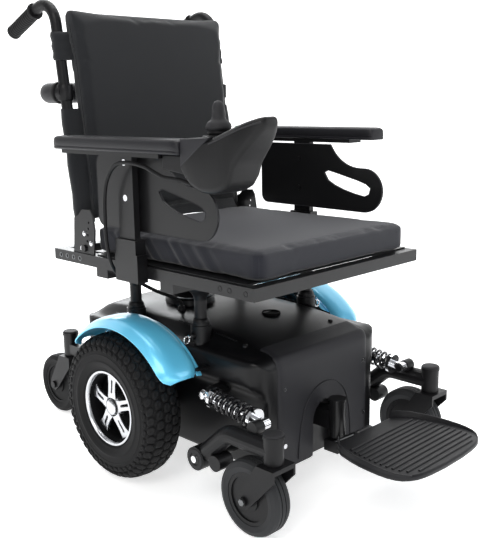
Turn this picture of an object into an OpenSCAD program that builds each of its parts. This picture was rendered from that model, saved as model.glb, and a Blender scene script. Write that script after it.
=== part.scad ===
// Mid-wheel-drive power wheelchair: two large drive wheels in the middle, sprung casters at the
// front, fixed-arm casters at the back, a moulded body with the batteries and motors inside, and a
// cushioned seat with height-adjusting armrests, a reclining back and a joystick controller.
// +Z is up and the front is -Y. The user's right side is -X. Millimetres.

/* [Drive wheels] */
// Outside radius of the drive tyre
drive_r = 160; // [155:1:165]
// Width of the drive tyre
drive_w = 92; // [84:1:92]
// Distance from the middle of the chair to the middle of a drive tyre
drive_x = 270; // [268:1:274]
// Radius of the tyre's bead, where it sits on the rim
bead_r = 80; // [76:1:84]
// Number of spokes in the rim
spokes = 5; // [4:1:6]

/* [Front casters] */
// Radius of a front caster wheel
front_r = 75; // [72:1:76]
// Width of a front caster wheel
front_w = 46; // [38:1:46]
// Distance from the middle of the chair to a front caster
front_x = 258; // [256:1:262]
// Front caster stem, ahead of the drive axle
front_stem = 438; // [434:1:446]
// Distance that a front wheel's axle trails its stem
front_trail = 49; // [46:1:50]

/* [Rear casters] */
// Radius of a rear caster wheel
rear_r = 77; // [74:1:78]
// Width of a rear caster wheel
rear_w = 40; // [34:1:42]
// Distance from the middle of the chair to a rear caster
rear_x = 150; // [148:1:156]
// Rear caster stem, behind the drive axle
rear_stem = 375; // [370:1:380]
// Distance that a rear wheel's axle trails its stem
rear_trail = 50; // [46:1:52]

/* [Body] */
// Half the width of the lower body
body_x = 170; // [168:1:172]
// Half the width across the shoulders
shoulder_x = 197; // [190:1:198]
// Height of the shoulders
shoulder_z = 305; // [300:1:308]
// Wall thickness of the mouldings
shell_t = 4; // [3:0.5:4]
// Radius of the fender's crown
fender_r = 214; // [212:1:218]

/* [Seat] */
// Height of the top of the seat rails
rail_z = 474; // [470:1:480]
// Distance from the middle of the chair to a rail's middle
rail_x = 245; // [244:1:246]
// Size of the square rail tube
rail_w = 25; // [24:1:26]
// Height of the cushion
cushion_h = 56; // [45:1:60]
// Half the width of the cushion
cushion_x = 238; // [230:1:240]

/* [Armrests] */
// Height of the top of the arm pads
pad_z = 736; // [732:1:742]
// Thickness of an arm pad
pad_h = 28; // [24:1:30]
// Distance from the middle of the chair to an arm pad's middle
pad_x = 285; // [284:1:288]

/* [Back] */
// Rake of the back posts, in degrees from upright
rake = 7.7; // [6:0.1:9]
// Distance from the middle of the chair to a back post
cane_x = 235; // [234:1:236]
// Radius of a back post
cane_r = 12.5; // [11:0.5:12.5]

/* [Footrest] */
// Height of the footplate's top
plate_z = 148; // [146:1:152]
// Front edge of the footplate, ahead of the drive axle
plate_front = 655; // [640:1:670]

/* [Hidden] */
$fn = 64;

RIGHT = -1;
LEFT = 1;
// Clearances: a pin or shaft in its bore, and parts that pass each other
run = 0.05;
gap = 0.5;

// The drive axle stands behind the middle of the chair's length
rear_axle = rear_stem + rear_trail;
front_axle = front_stem - front_trail;
axle_y = (plate_front - rear_axle - rear_r) / 2;

// Chassis: floor tray, side plates and the room inside
tray_z = 62;
side_x = 150;
plate_t = 4;
chassis_front = -325;
chassis_back = 235;
side_top = 290;
bridge_z = 250;
motor_r = 40;
gearbox_r = 50;
gearbox_x = 214;
shaft_r = 12.5;

// Seat columns: two on each side, telescoping into posts on the chassis
column_x = 168;
column_ys = [-150, 68];
column_r = 13;
post_r = 17;
post_z0 = 256;
socket_z0 = 312;
socket_z1 = 352;
socket_r = 22;
column_top = 425;
seat_lift = 50;
pin_z = 325;
pin_r = 4;

// Front suspension: arm pivot, knee, and the shock's two eyes
pivot = [-245, 111];
knee_bend = [-340, 136];
arm_r = 20;
arm_half = 20;
arm_path = concat([pivot], arc(knee_bend, 45, 52, 90, 4), [[-front_stem, 181]]);
pivot_pin_r = 10;
head_z0 = 156;
head_z1 = 211;
head_r = 19;
stem_r = 8;
shock_top = [-225, 227];
shock_low = [-383, 207];
shock_x = 225;
shock_len = norm(shock_low - shock_top);
shock_tilt = atan2(shock_low[1] - shock_top[1], shock_top[0] - shock_low[0]);
eye_r = 11;
eye_w = 16;
eye_pin_r = 5;
open_eye_r = 6.4;
spring_r = 17.5;
wire_r = 3.2;
spring_turns = 6.5;
seat_collar = 28;

// Footrest: receiver tube, sliding post and flip-up plate
foot_y = -380;
foot_r = 12.5;
foot_hinge = [-447, 138];
hinge_pin_r = 5;

// Seat details
seat_front = -394;
seat_back = 251;
cross_z0 = rail_z - rail_w - 20;
pan_t = 3;
cushion_z0 = rail_z + pan_t + gap;
cushion_front = -388;

// Armrest details
post_x0 = 263;
post_x1 = 277;
post_y0 = -80;
post_y1 = -30;
post_bottom = 446.5;
guard_x0 = 252;
guard_x1 = 256;

// Back details, along a post from its lower end
hinge_back = [133, 486];
cane_foot = [158.5, 493];
cane_bend = 50;
cane_top = 1016;
grip_drop = 22;
// Where the post's straight part ends, the bend's centre, and the start of the grip's stretch
cane_run = (cane_top - cane_bend + cane_bend * sin(rake) - cane_foot[1]) / cos(rake);
bend_start = cane_foot + cane_run * [sin(rake), cos(rake)];
bend_centre = bend_start + cane_bend * [cos(rake), -sin(rake)];
grip_start = bend_centre + cane_bend * [sin(grip_drop), cos(grip_drop)];
grip_dir = [cos(grip_drop), -sin(grip_drop)];
grip_len = 118;
cane_path = concat([cane_foot], arc(bend_centre, cane_bend, 180 - rake, 90 - grip_drop, 10), [grip_start + grip_len * grip_dir]);

// Controller details
pod_x0 = -302;
pod_x1 = -222;
stick = [-262, -316, 722];
button_slope = 19.9;

// Places along a circle, from angle a0 to a1
function arc(c, r, a0, a1, n) = [for (i = [0:n]) c + r * [cos(a0 + (a1 - a0) * i / n), sin(a0 + (a1 - a0) * i / n)]];
function unit(v) = v / norm(v);
// Direction of a route at point i
function heading(p, i) = unit(p[min(i + 1, len(p) - 1)] - p[max(i - 1, 0)]);
// A ring of n points round point i of a route; the route never runs along `ref`
function ring(p, i, r, n, ref) =
    let (t = heading(p, i), u = unit(cross(t, ref)), v = cross(t, u))
    [for (k = [0:n - 1]) p[i] + r * (cos(360 * k / n) * u + sin(360 * k / n) * v)];
// Smooth route through hand-picked points: each span of the curve is cut into `cuts` pieces
function curve_point(a, b, c, d, t) =
    0.5 * (2 * b + (c - a) * t + (2 * a - 5 * b + 4 * c - d) * t * t + (3 * b - a - 3 * c + d) * t * t * t);
function smooth(p, cuts) = concat(
    [for (i = [0:len(p) - 2], k = [0:cuts - 1])
        curve_point(p[max(i - 1, 0)], p[i], p[i + 1], p[min(i + 2, len(p) - 1)], k / cuts)],
    [p[len(p) - 1]]);

module at_frame() translate([0, axle_y, 0]) children();
module on_side(side) if (side > 0) children(); else mirror([1, 0, 0]) children();
module block(x0, x1, y0, y1, z0, z1) translate([x0, y0, z0]) cube([x1 - x0, y1 - y0, z1 - z0]);
module both_blocks(x0, x1, y0, y1, z0, z1) for (s = [RIGHT, LEFT]) on_side(s) block(x0, x1, y0, y1, z0, z1);
module x_rod(y, z, r, x0, x1) translate([x0, y, z]) rotate([0, 90, 0]) cylinder(r = r, h = x1 - x0);
module y_rod(x, z, r, y0, y1) translate([x, y1, z]) rotate([90, 0, 0]) cylinder(r = r, h = y1 - y0);
module z_rod(x, y, r, z0, z1) translate([x, y, z0]) cylinder(r = r, h = z1 - z0);
// An outline given as (y, z), extruded along X
module yz_plate(x0, x1) translate([x0, 0, 0]) rotate([90, 0, 90]) linear_extrude(x1 - x0) children();
// A round bar between two (y, z) points in the plane x
module bar_yz(x, a, b, r) translate([x, a[0], a[1]])
    rotate([-atan2(b[0] - a[0], b[1] - a[1]), 0, 0]) cylinder(r = r, h = norm(b - a));
// A closed tube swept along a route
module swept_tube(p, r, n, ref = [1, 0, 0]) {
    rings = [for (i = [0:len(p) - 1]) each ring(p, i, r, n, ref)];
    last = (len(p) - 1) * n;
    sides = [for (i = [0:len(p) - 2], k = [0:n - 1])
        [i * n + k, (i + 1) * n + k, (i + 1) * n + (k + 1) % n, i * n + (k + 1) % n]];
    polyhedron(rings, concat([[for (k = [0:n - 1]) k]], sides, [[for (k = [n - 1:-1:0]) last + k]]), convexity = 8);
}
module rounded_rect(x0, x1, y0, y1, r) polygon(concat(
    arc([x1 - r, y1 - r], r, 0, 90, 6), arc([x0 + r, y1 - r], r, 90, 180, 6),
    arc([x0 + r, y0 + r], r, 180, 270, 6), arc([x1 - r, y0 + r], r, 270, 360, 6)));

// ---- Base ----

module chassis_frame() color("#1c1c1e") at_frame() difference() {
    union() {
        block(-side_x, side_x, chassis_front, chassis_back, tray_z, tray_z + plate_t);
        both_blocks(side_x - plate_t, side_x, chassis_front, chassis_back, tray_z, side_top);
        block(-side_x, side_x, chassis_front, chassis_front + plate_t, tray_z, side_top);
        block(-side_x, side_x, chassis_back - plate_t, chassis_back, tray_z, 240);
        block(-side_x, side_x, chassis_front, -100, bridge_z, bridge_z + plate_t);
        for (s = [RIGHT, LEFT]) on_side(s) {
            for (y = column_ys) {
                z_rod(column_x, y, post_r, post_z0, socket_z0);
                block(side_x - plate_t, column_x - post_r + 3, y - 8, y + 8, post_z0, side_top);
            }
            x_rod(pivot[0], pivot[1], 16, side_x - plate_t, front_x - arm_half - gap);
            x_rod(pivot[0], pivot[1], pivot_pin_r, side_x - plate_t, front_x + arm_half + gap);
            x_rod(shock_top[0], shock_top[1], 14, side_x - plate_t, shock_x - eye_w / 2 - 4);
            x_rod(shock_top[0], shock_top[1], eye_pin_r, side_x - plate_t, shock_x + eye_w / 2 + 3);
        }
        block(-14, 14, foot_y, chassis_front, 128, 168);
        z_rod(0, foot_y, 17.5, 112, 190);
        z_rod(0, foot_y, 19, 190, 195);
    }
    for (s = [RIGHT, LEFT]) on_side(s) {
        for (y = column_ys) z_rod(column_x, y, column_r + 1.5, post_z0 - 1, socket_z0 + 1);
        x_rod(0, drive_r, motor_r + 1, side_x - plate_t - 1, side_x + 1);
    }
    z_rod(0, foot_y, foot_r + run, 111, 182);
}

module batteries() color("#303236") at_frame() for (y0 = [-310, 60]) {
    block(-98, 98, y0, y0 + 130, tray_z + plate_t, 222);
    for (x = [-70, 70]) z_rod(x, y0 + 24, 8, 222, 232);
}

module control_module() color("#2a2c30") at_frame() {
    block(-70, 70, -290, -180, bridge_z + plate_t, 286);
    for (x = [-50:12.5:50]) block(x - 2, x + 2, -286, -184, 286, 294);
}

module drive_unit(side) color("#3a3c40") at_frame() on_side(side) {
    x_rod(0, drive_r, motor_r, 36, side_x);
    x_rod(0, drive_r, gearbox_r, side_x, gearbox_x - 14);
    x_rod(0, drive_r, 34, gearbox_x - 14, gearbox_x);
    x_rod(0, drive_r, shaft_r, gearbox_x, drive_x + 20);
}
module drive_unit_right() drive_unit(RIGHT);
module drive_unit_left() drive_unit(LEFT);

// The body's outline, drawn in by t for the inside
module shell_form(t) intersection() {
    union() {
        rotate([90, 0, 0]) translate([0, 0, -246 + t]) linear_extrude(589 - 2 * t) polygon([
            [-body_x + t, 66], [body_x - t, 66], [body_x - t, 228], [shoulder_x - t, 250 + t / 2],
            [shoulder_x - t, shoulder_z - 10 - t], [shoulder_x - 10 - t, shoulder_z - t],
            [-shoulder_x + 10 + t, shoulder_z - t], [-shoulder_x + t, shoulder_z - 10 - t],
            [-shoulder_x + t, 250 + t / 2], [-body_x + t, 228]]);
        yz_plate(-152 + t, 152 - t) polygon([
            [-343 + t, 80], [246 - t, 80], [246 - t, 296], [210 - t, 336 - t], [120, 346 - t], [30, 343 - t],
            [-60, 341 - t], [-155, 339 - t], [-228, 332 - t], [-310, 315 - t], [-335 + t, 305 - t], [-343 + t, 296]]);
        translate([-30, 40, 300]) cylinder(r = 58 - t, h = 70 - t);
    }
    translate([0, 0, 60]) linear_extrude(320) rounded_rect(-shoulder_x + t, shoulder_x - t, -343 + t, 246 - t, 42 - t);
}

module body_shell() color("#17171a") at_frame() difference() {
    union() {
        difference() {
            shell_form(0);
            shell_form(shell_t);
        }
        z_rod(-100, -10, 9, 335, 349);
    }
    block(-130, 130, -350, -330, 60, 284);
    block(-body_x - 1, body_x + 1, -330, 230, 60, 67);
    for (s = [RIGHT, LEFT]) on_side(s) {
        for (y = column_ys) z_rod(column_x, y, post_r + 1, 280, 320);
        for (y = column_ys) z_rod(column_x, y, socket_r + 1, shoulder_z + 1, 380);
        x_rod(0, drive_r, gearbox_r + 2, 150, 200);
        x_rod(pivot[0], pivot[1], 18, 150, 200);
        x_rod(shock_top[0], shock_top[1], 16, 150, 200);
        block(rear_x - 20, rear_x + 15.5, 230, 250, 166, 198);
    }
}

module front_cover() color("#35363a") at_frame() difference() {
    union() {
        translate([0, -343, 0]) rotate([90, 0, 0]) linear_extrude(shell_t) rounded_rect(-142, 142, 72, 296, 12);
        translate([0, -346, 0]) rotate([90, 0, 0]) linear_extrude(5) intersection() {
            translate([0, 143]) difference() {
                circle(r = 80);
                circle(r = 73);
            }
            translate([-90, 80]) square([180, 150]);
        }
    }
    translate([0, -340, 0]) rotate([90, 0, 0]) linear_extrude(20) union() {
        translate([0, 146]) circle(r = 40);
        translate([-40, 60]) square([80, 86]);
    }
}

module fender(side) color("#2fa9d6") at_frame() on_side(side) {
    translate([0, -35, 150]) rotate([0, 90, 0]) rotate([0, 0, 132]) rotate_extrude(angle = 104) polygon([
        [fender_r - 14, 226], [fender_r - 4, 232], [fender_r, 250], [fender_r, 294], [fender_r - 4, 310],
        [fender_r - 12, 318], [fender_r - 15, 315.5], [fender_r - 8, 308], [fender_r - 4, 293], [fender_r - 4, 251],
        [fender_r - 8, 235], [fender_r - 16.5, 229.5]]);
    block(shoulder_x - 12, 231, 79, 99, shoulder_z, shoulder_z + 4);
    block(shoulder_x, 231, -205, -185, 270, 274);
}
module fender_right() fender(RIGHT);
module fender_left() fender(LEFT);

module rear_caster_arms() color("#1c1c1e") at_frame() for (s = [RIGHT, LEFT]) on_side(s) difference() {
    union() {
        block(rear_x - 22, rear_x + 14, chassis_back, chassis_back + 5, 150, 200);
        block(rear_x - 18, rear_x + 14, chassis_back, rear_stem - 8, 168, 196);
        z_rod(rear_x, rear_stem, head_r, 164, 218);
        z_rod(rear_x, rear_stem, head_r + 1.5, 218, 224);
    }
    z_rod(rear_x, rear_stem, stem_r + run, 163, 210);
}

module column_sockets() color("#202124") at_frame() for (s = [RIGHT, LEFT]) on_side(s) for (y = column_ys) difference() {
    union() {
        z_rod(column_x, y, socket_r, socket_z0, socket_z1 - 6);
        z_rod(column_x, y, socket_r - 3, socket_z1 - 6, socket_z1);
        if (y < 0) x_rod(y, pin_z, 8, column_x + 15, 198);
    }
    z_rod(column_x, y, column_r + run, socket_z0 - 1, socket_z1 + 1);
    if (y < 0) x_rod(y, pin_z, pin_r + run, column_x + 5, 199);
}

module base_fasteners() color("#b9bcc0") at_frame() for (s = [RIGHT, LEFT]) on_side(s) {
    x_rod(pivot[0], pivot[1], 7, front_x + arm_half + gap, front_x + arm_half + 5);
    x_rod(shock_top[0], shock_top[1], 7, shock_x + eye_w / 2 + 3, shock_x + eye_w / 2 + 7);
    z_rod(shoulder_x - 6, 89, 5, shoulder_z + 4, shoulder_z + 7);
    for (z = [120, 240]) y_rod(128, z, 5, -350, -347);
}

// ---- Wheels ----

// A tyre's outline as (radius, distance across), from its bead r0 to its tread r1
module tyre_outline(r0, r1, half) polygon([
    [r0, -half + 10], [r0 + 6, -half + 6], [(r0 + r1) / 2 - 8, -half + 1], [(r0 + r1) / 2, -half],
    [r1 - 18, -half + 4], [r1 - 8, -half + 11], [r1 - 2, -half + 22], [r1, -half + 34],
    [r1, half - 34], [r1 - 2, half - 22], [r1 - 8, half - 11], [r1 - 18, half - 4],
    [(r0 + r1) / 2, half], [(r0 + r1) / 2 - 8, half - 1], [r0 + 6, half - 6], [r0, half - 10]]);

module drive_tyre(side) color("#232325") at_frame() on_side(side)
    translate([drive_x, 0, drive_r]) rotate([0, 90, 0]) rotate_extrude($fn = 96) tyre_outline(bead_r, drive_r, drive_w / 2);
module drive_tyre_right() drive_tyre(RIGHT);
module drive_tyre_left() drive_tyre(LEFT);

module drive_rim(side) color("#c9ccd0") at_frame() on_side(side) translate([drive_x, 0, drive_r]) rotate([0, 90, 0]) difference() {
    union() {
        rotate_extrude() polygon([
            [bead_r - 0.2, -34], [bead_r - 0.2, 33], [bead_r - 11, 33], [bead_r - 12, 26], [bead_r - 6, 22], [bead_r - 6, -34]]);
        translate([0, 0, -6]) cylinder(r = bead_r - 4, h = 4);
        translate([0, 0, -36]) cylinder(r = 26, h = 58);
        for (i = [0:spokes - 1]) rotate([0, 0, 360 * i / spokes]) translate([0, 0, 14])
            linear_extrude(10) polygon([[18, -15], [bead_r - 5, -9], [bead_r - 5, 9], [18, 15]]);
        translate([0, 0, 22]) cylinder(r = 19, h = 8);
    }
    translate([0, 0, -37]) cylinder(r = shaft_r + run, h = 59);
}
module drive_rim_right() drive_rim(RIGHT);
module drive_rim_left() drive_rim(LEFT);

module caster_tyre(r, w) rotate([0, 90, 0]) difference() {
    rotate_extrude() polygon([
        [r * 0.7, -w / 2 + 3], [r - 12, -w / 2], [r - 3, -w / 2 + 4], [r, -w / 2 + 11],
        [r, w / 2 - 11], [r - 3, w / 2 - 4], [r - 12, w / 2], [r * 0.7, w / 2 - 3]]);
    for (g = [-5, 5]) rotate_extrude() translate([r - 2.5, g - 1.2]) square([4, 2.4]);
}
module caster_hub(r, w) rotate([0, 90, 0]) difference() {
    union() {
        translate([0, 0, -w / 2 + 4]) cylinder(r = r * 0.7 - 0.2, h = w - 8);
        translate([0, 0, -w / 2 - 1]) cylinder(r = 12, h = w + 2);
    }
    translate([0, 0, -w / 2 - 2]) cylinder(r = eye_pin_r + run, h = w + 4);
    for (s = [-1, 1]) translate([0, 0, s * (w / 2 - 4)]) rotate_extrude() translate([24, -3]) square([r * 0.7 - 32, 6]);
}

module front_tyre(side) color("#8b8c8e") at_frame() on_side(side) translate([front_x, -front_axle, front_r]) caster_tyre(front_r, front_w);
module front_tyre_right() front_tyre(RIGHT);
module front_tyre_left() front_tyre(LEFT);
module front_hub(side) color("#1d1d1f") at_frame() on_side(side) translate([front_x, -front_axle, front_r]) caster_hub(front_r, front_w);
module front_hub_right() front_hub(RIGHT);
module front_hub_left() front_hub(LEFT);

module rear_wheel(side) color("#2a2a2c") at_frame() on_side(side) translate([rear_x, rear_axle, rear_r]) {
    caster_tyre(rear_r, rear_w);
    caster_hub(rear_r, rear_w);
}
module rear_wheel_right() rear_wheel(RIGHT);
module rear_wheel_left() rear_wheel(LEFT);

// A caster fork: stem at the origin, wheel axle `trail` behind it at height r
module caster_fork(r, w, trail, crown_z, head_low) {
    leg = w / 2 + 2.5;
    z_rod(0, 0, stem_r, crown_z, head_low + 40);
    block(-leg - 5, leg + 5, -26, 17, crown_z, head_low - gap);
    for (s = [RIGHT, LEFT]) on_side(s) yz_plate(leg, leg + 5) polygon([
        [-26, head_low - gap], [17, head_low - gap], [trail + 15, r + 8], [trail + 12, r - 10],
        [trail - 4, r - 16], [trail - 16, r - 6], [-26, crown_z - 14]]);
    x_rod(trail, r, eye_pin_r, -leg - 7, leg + 7);
    for (s = [RIGHT, LEFT]) on_side(s) x_rod(trail, r, 9, leg + 5, leg + 10);
}
module front_fork(side) color("#1a1a1c") at_frame() on_side(side) translate([front_x, -front_stem, 0])
    caster_fork(front_r, front_w, front_trail, 146.5, head_z0);
module front_fork_right() front_fork(RIGHT);
module front_fork_left() front_fork(LEFT);
module rear_fork(side) color("#1a1a1c") at_frame() on_side(side) translate([rear_x, rear_stem, 0])
    caster_fork(rear_r, rear_w, rear_trail, 152, 164);
module rear_fork_right() rear_fork(RIGHT);
module rear_fork_left() rear_fork(LEFT);

// ---- Front suspension ----

module front_arm(side) color("#1c1c1e") at_frame() on_side(side) difference() {
    union() {
        x_rod(pivot[0], pivot[1], 24, front_x - arm_half, front_x + arm_half);
        swept_tube([for (p = arm_path) [front_x, p[0], p[1]]], arm_r - 1, 20);
        z_rod(front_x, -front_stem, head_r, head_z0, head_z1 - 6);
        z_rod(front_x, -front_stem, head_r + 1.5, head_z1 - 6, head_z1);
        x_rod(-298, 116, 16, front_x - arm_half + 2, front_x + arm_half - 2);
        x_rod(shock_low[0], shock_low[1], 13, shock_x + eye_w / 2 + 1.5, front_x);
        x_rod(shock_low[0], shock_low[1], eye_pin_r, shock_x - eye_w / 2 - 2, front_x);
        x_rod(shock_low[0], shock_low[1], 8, shock_x - eye_w / 2 - 4, shock_x - eye_w / 2 - 1.5);
    }
    x_rod(pivot[0], pivot[1], pivot_pin_r + run, front_x - 40, front_x + 40);
    z_rod(front_x, -front_stem, stem_r + run, head_z0 - 30, head_z0 + 42);
}
module front_arm_right() front_arm(RIGHT);
module front_arm_left() front_arm(LEFT);

// The shock's own frame: upper eye at the origin, lower eye along -Y at shock_len
module shock_place(side) at_frame() on_side(side) translate([shock_x, shock_top[0], shock_top[1]])
    rotate([-shock_tilt, 0, 0]) children();

module shock_body(side) color("#c4c7cb") shock_place(side) difference() {
    union() {
        x_rod(0, 0, eye_r, -eye_w / 2, eye_w / 2);
        y_rod(0, 0, 11, -95, -4);
        y_rod(0, 0, 22, -seat_collar, -seat_collar + 7);
    }
    x_rod(0, 0, eye_pin_r + run, -20, 20);
    y_rod(0, 0, 6 + run, -96, -36);
}
module shock_body_right() shock_body(RIGHT);
module shock_body_left() shock_body(LEFT);

module shock_rod(side) color("#d5d8dc") shock_place(side) difference() {
    union() {
        x_rod(-shock_len, 0, eye_r, -eye_w / 2, eye_w / 2);
        y_rod(0, 0, 6, -shock_len + 4, -60);
        y_rod(0, 0, 22, -shock_len + seat_collar - 7, -shock_len + seat_collar);
        y_rod(0, 0, 9, -shock_len + 6, -shock_len + seat_collar);
    }
    x_rod(-shock_len, 0, open_eye_r, -20, 20);
}
module shock_rod_right() shock_rod(RIGHT);
module shock_rod_left() shock_rod(LEFT);

spring_len = shock_len - 2 * seat_collar - 2 * wire_r - 1;
module shock_spring(side) color("#1b1b1d") shock_place(side) {
    steps = 18 * spring_turns;
    swept_tube([for (i = [0:steps]) let (a = 20 * i)
        [spring_r * cos(a), -seat_collar - wire_r - 0.5 - spring_len * i / steps, spring_r * sin(a)]], wire_r, 8, [0, 1, 0]);
}
module shock_spring_right() shock_spring(RIGHT);
module shock_spring_left() shock_spring(LEFT);

// ---- Footrest ----

module footrest_post() color("#1c1c1e") at_frame() {
    z_rod(0, foot_y, foot_r, 96, 172);
    block(-24, 24, foot_y - 20, foot_y + 16, 84, 108);
    for (s = [RIGHT, LEFT]) on_side(s) yz_plate(16, 24) union() {
        polygon([[foot_y - 20, 84], [foot_y - 20, 108], [-440, 144.8], [-452, 130]]);
        translate(foot_hinge) circle(r = 9);
    }
    x_rod(foot_hinge[0], foot_hinge[1], hinge_pin_r, -24, 24);
}

// Half the footplate's outline, as (x, y)
foot_half = [[96, -450], [118, -480], [128, -510], [137, -560], [138, -600], [128, -628], [104, -645], [70, -652], [30, -655]];
module footplate() color("#2b2c2f") at_frame() difference() {
    union() {
        translate([0, 0, plate_z - 12]) linear_extrude(12) polygon(concat(foot_half,
            [for (i = [len(foot_half) - 1:-1:0]) [-foot_half[i][0], foot_half[i][1]]]));
        for (y = [-640:14:-500]) block(-106, 106, y - 2, y + 2, plate_z, plate_z + 2.5);
        for (s = [RIGHT, LEFT]) on_side(s) translate([0, 0, plate_z]) linear_extrude(12)
            polygon([[96, -452], [118, -480], [128, -510], [137, -560], [138, -592], [133, -592], [132, -560], [123, -512], [113, -483], [90, -452]]);
        x_rod(foot_hinge[0], foot_hinge[1], 9, -15.5, 15.5);
        block(-15.5, 15.5, -480, foot_hinge[0], foot_hinge[1] - 5, foot_hinge[1] + 5);
    }
    both_blocks(15.5, 27, -476, -440, 120, 170);
    block(-16, 16, -476, -430, 143, 170);
    x_rod(foot_hinge[0], foot_hinge[1], hinge_pin_r + run, -30, 30);
}

// ---- Seat ----

module square_tube_y(x, y0, y1, z1, w) difference() {
    block(x - w / 2, x + w / 2, y0, y1, z1 - w, z1);
    block(x - w / 2 + 2, x + w / 2 - 2, y0 + 4, y1 - 4, z1 - w + 2, z1 - 2);
}

hole_ys = [150, 175, 200, 225];
module seat_frame() color("#1c1c1e") at_frame() {
    difference() {
        union() {
            for (s = [RIGHT, LEFT]) square_tube_y(s * rail_x, seat_front, seat_back, rail_z, rail_w);
            for (y = [seat_front, seat_back - rail_w]) block(-rail_x + 12, rail_x - 12, y, y + rail_w, rail_z - rail_w, rail_z);
            for (y = column_ys) block(-rail_x - 12, rail_x + 12, y - 20, y + 20, cross_z0, rail_z - rail_w + 0.5);
        }
        for (y = hole_ys) for (s = [RIGHT, LEFT]) on_side(s) x_rod(y, rail_z - rail_w / 2, 4, rail_x - 30, rail_x + 30);
    }
    for (s = [RIGHT, LEFT]) on_side(s) difference() {
        union() {
            block(rail_x + 12, 283, -92, -18, 442, 500);
            block(rail_x + 12, 283, -88, -22, 500, 530);
        }
        block(post_x0 - gap, post_x1 + gap, post_y0 - gap, post_y1 + gap, 446, 531);
    }
}

module seat_pan() color("#26272a") at_frame() translate([0, 0, rail_z]) linear_extrude(pan_t)
    polygon([[-250, -368], [250, -368], [250, 92], [230, 92], [230, 130], [-230, 130], [-230, 92], [-250, 92]]);

module seat_columns() color("#232427") at_frame() for (s = [RIGHT, LEFT]) on_side(s) for (y = column_ys) {
    difference() {
        z_rod(column_x, y, column_r, post_z0 + 6, column_top);
        block(column_x + 8.5, column_x + 20, y - 4.5, y + 4.5, pin_z - seat_lift - 8, pin_z + 8);
    }
    z_rod(column_x, y, 30, column_top, cross_z0);
}

module seat_cushion() color("#26272c") at_frame() translate([0, 0, cushion_z0]) linear_extrude(cushion_h)
    rounded_rect(-cushion_x, cushion_x, cushion_front, 130, 24);

module seat_pin(side) color("#cfd2d6") at_frame() on_side(side) {
    x_rod(column_ys[0], pin_z, pin_r, column_x + 9.5, 203);
    translate([208.5, column_ys[0], pin_z - 5]) rotate([90, 0, 0]) rotate_extrude() translate([7.5, 0]) circle(r = 1.5, $fn = 24);
}
module seat_pin_right() seat_pin(RIGHT);
module seat_pin_left() seat_pin(LEFT);

// ---- Armrests ----

module armrest_post(side) color("#1d1e20") at_frame() on_side(side) {
    block(post_x0, post_x1, post_y0, post_y1, post_bottom, pad_z - pad_h - 8);
    block(pad_x - 22, pad_x + 22, -200, 120, pad_z - pad_h - 8, pad_z - pad_h);
}
module armrest_post_right() armrest_post(RIGHT);
module armrest_post_left() armrest_post(LEFT);

// Side guard as (y, z): a long panel that curves down to a round lobe at the front
guard_outline = concat(
    arc([50, 676], 20, 90, 0, 6), arc([50, 566], 20, 0, -90, 6),
    arc([-252, 594], 50, -90, -270, 18), arc([-238, 740], 96, -90, -27.3, 10));
guard_slot = [[-134, 630], [-146, 612], [-165, 602], [-190, 593], [-222, 585], [-252, 580], [-266, 586],
    [-270, 600], [-258, 609], [-235, 616], [-205, 623], [-170, 631], [-146, 636]];
module side_guard(side) color("#161719") at_frame() on_side(side) {
    yz_plate(guard_x0, guard_x1) difference() {
        polygon(guard_outline);
        polygon(guard_slot);
    }
    for (z = [590, 660]) x_rod(-55, z, 9, guard_x1, post_x0);
    for (z = [590, 660]) x_rod(-55, z, 6, guard_x0 - 3, guard_x0);
}
module side_guard_right() side_guard(RIGHT);
module side_guard_left() side_guard(LEFT);

module arm_pad(side) color("#2b2c30") at_frame() on_side(side) translate([0, 0, pad_z - pad_h]) linear_extrude(pad_h)
    rounded_rect(pad_x - 27, pad_x + 27, side == RIGHT ? -256 : -265, 150, 14);
module arm_pad_right() arm_pad(RIGHT);
module arm_pad_left() arm_pad(LEFT);

// ---- Controller ----

// The pod's outline, as (y, z)
pod_outline = [[-257, 693], [-257, 733], [-331, 738], [-436, 776], [-446, 772], [-445, 762], [-424, 735],
    [-398, 706], [-380, 682], [-374, 660], [-355, 648], [-320, 640], [-280, 650], [-262, 668]];
// The nose is round in plan, from pod_nose_y forward
pod_nose_y = -385;
module pod_housing() color("#202124") at_frame() difference() {
    union() {
        intersection() {
            yz_plate(pod_x0, pod_x1) polygon(pod_outline);
            translate([stick[0], pod_nose_y, 630]) linear_extrude(160) polygon(concat([[40, 140]],
                [for (a = [0:-12:-180]) [40 * cos(a), 61 * sin(a)]], [[-40, 140]]));
        }
        z_rod(stick[0], stick[1], 30, 730, 740);
        block(pad_x * RIGHT - 17, pad_x * RIGHT + 22, -262, -202, pad_z - pad_h - 36, pad_z - pad_h - 0.2);
    }
    z_rod(stick[0], stick[1], 25, 700, 741);
    x_rod(stick[1], stick[2], 2.5 + run, stick[0] - 31, stick[0] + 31);
    for (x = [-282, -242]) button_place(x) translate([0, 0, -8]) cylinder(r = 6 + run, h = 20);
}
// A button's own frame: the middle of its mouth in the pod's sloping face
module button_place(x) translate([x, pod_nose_y, 757.5]) rotate([-button_slope, 0, 0]) children();

module joystick_gimbal() color("#55585c") at_frame() difference() {
    union() {
        z_rod(stick[0], stick[1], 21, stick[2] - 4, stick[2] + 4);
        x_rod(stick[1], stick[2], 2.5, stick[0] - 29, stick[0] + 29);
    }
    z_rod(stick[0], stick[1], 15, stick[2] - 5, stick[2] + 5);
    y_rod(stick[0], stick[2], 2.5 + run, stick[1] - 19, stick[1] + 19);
}

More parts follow.
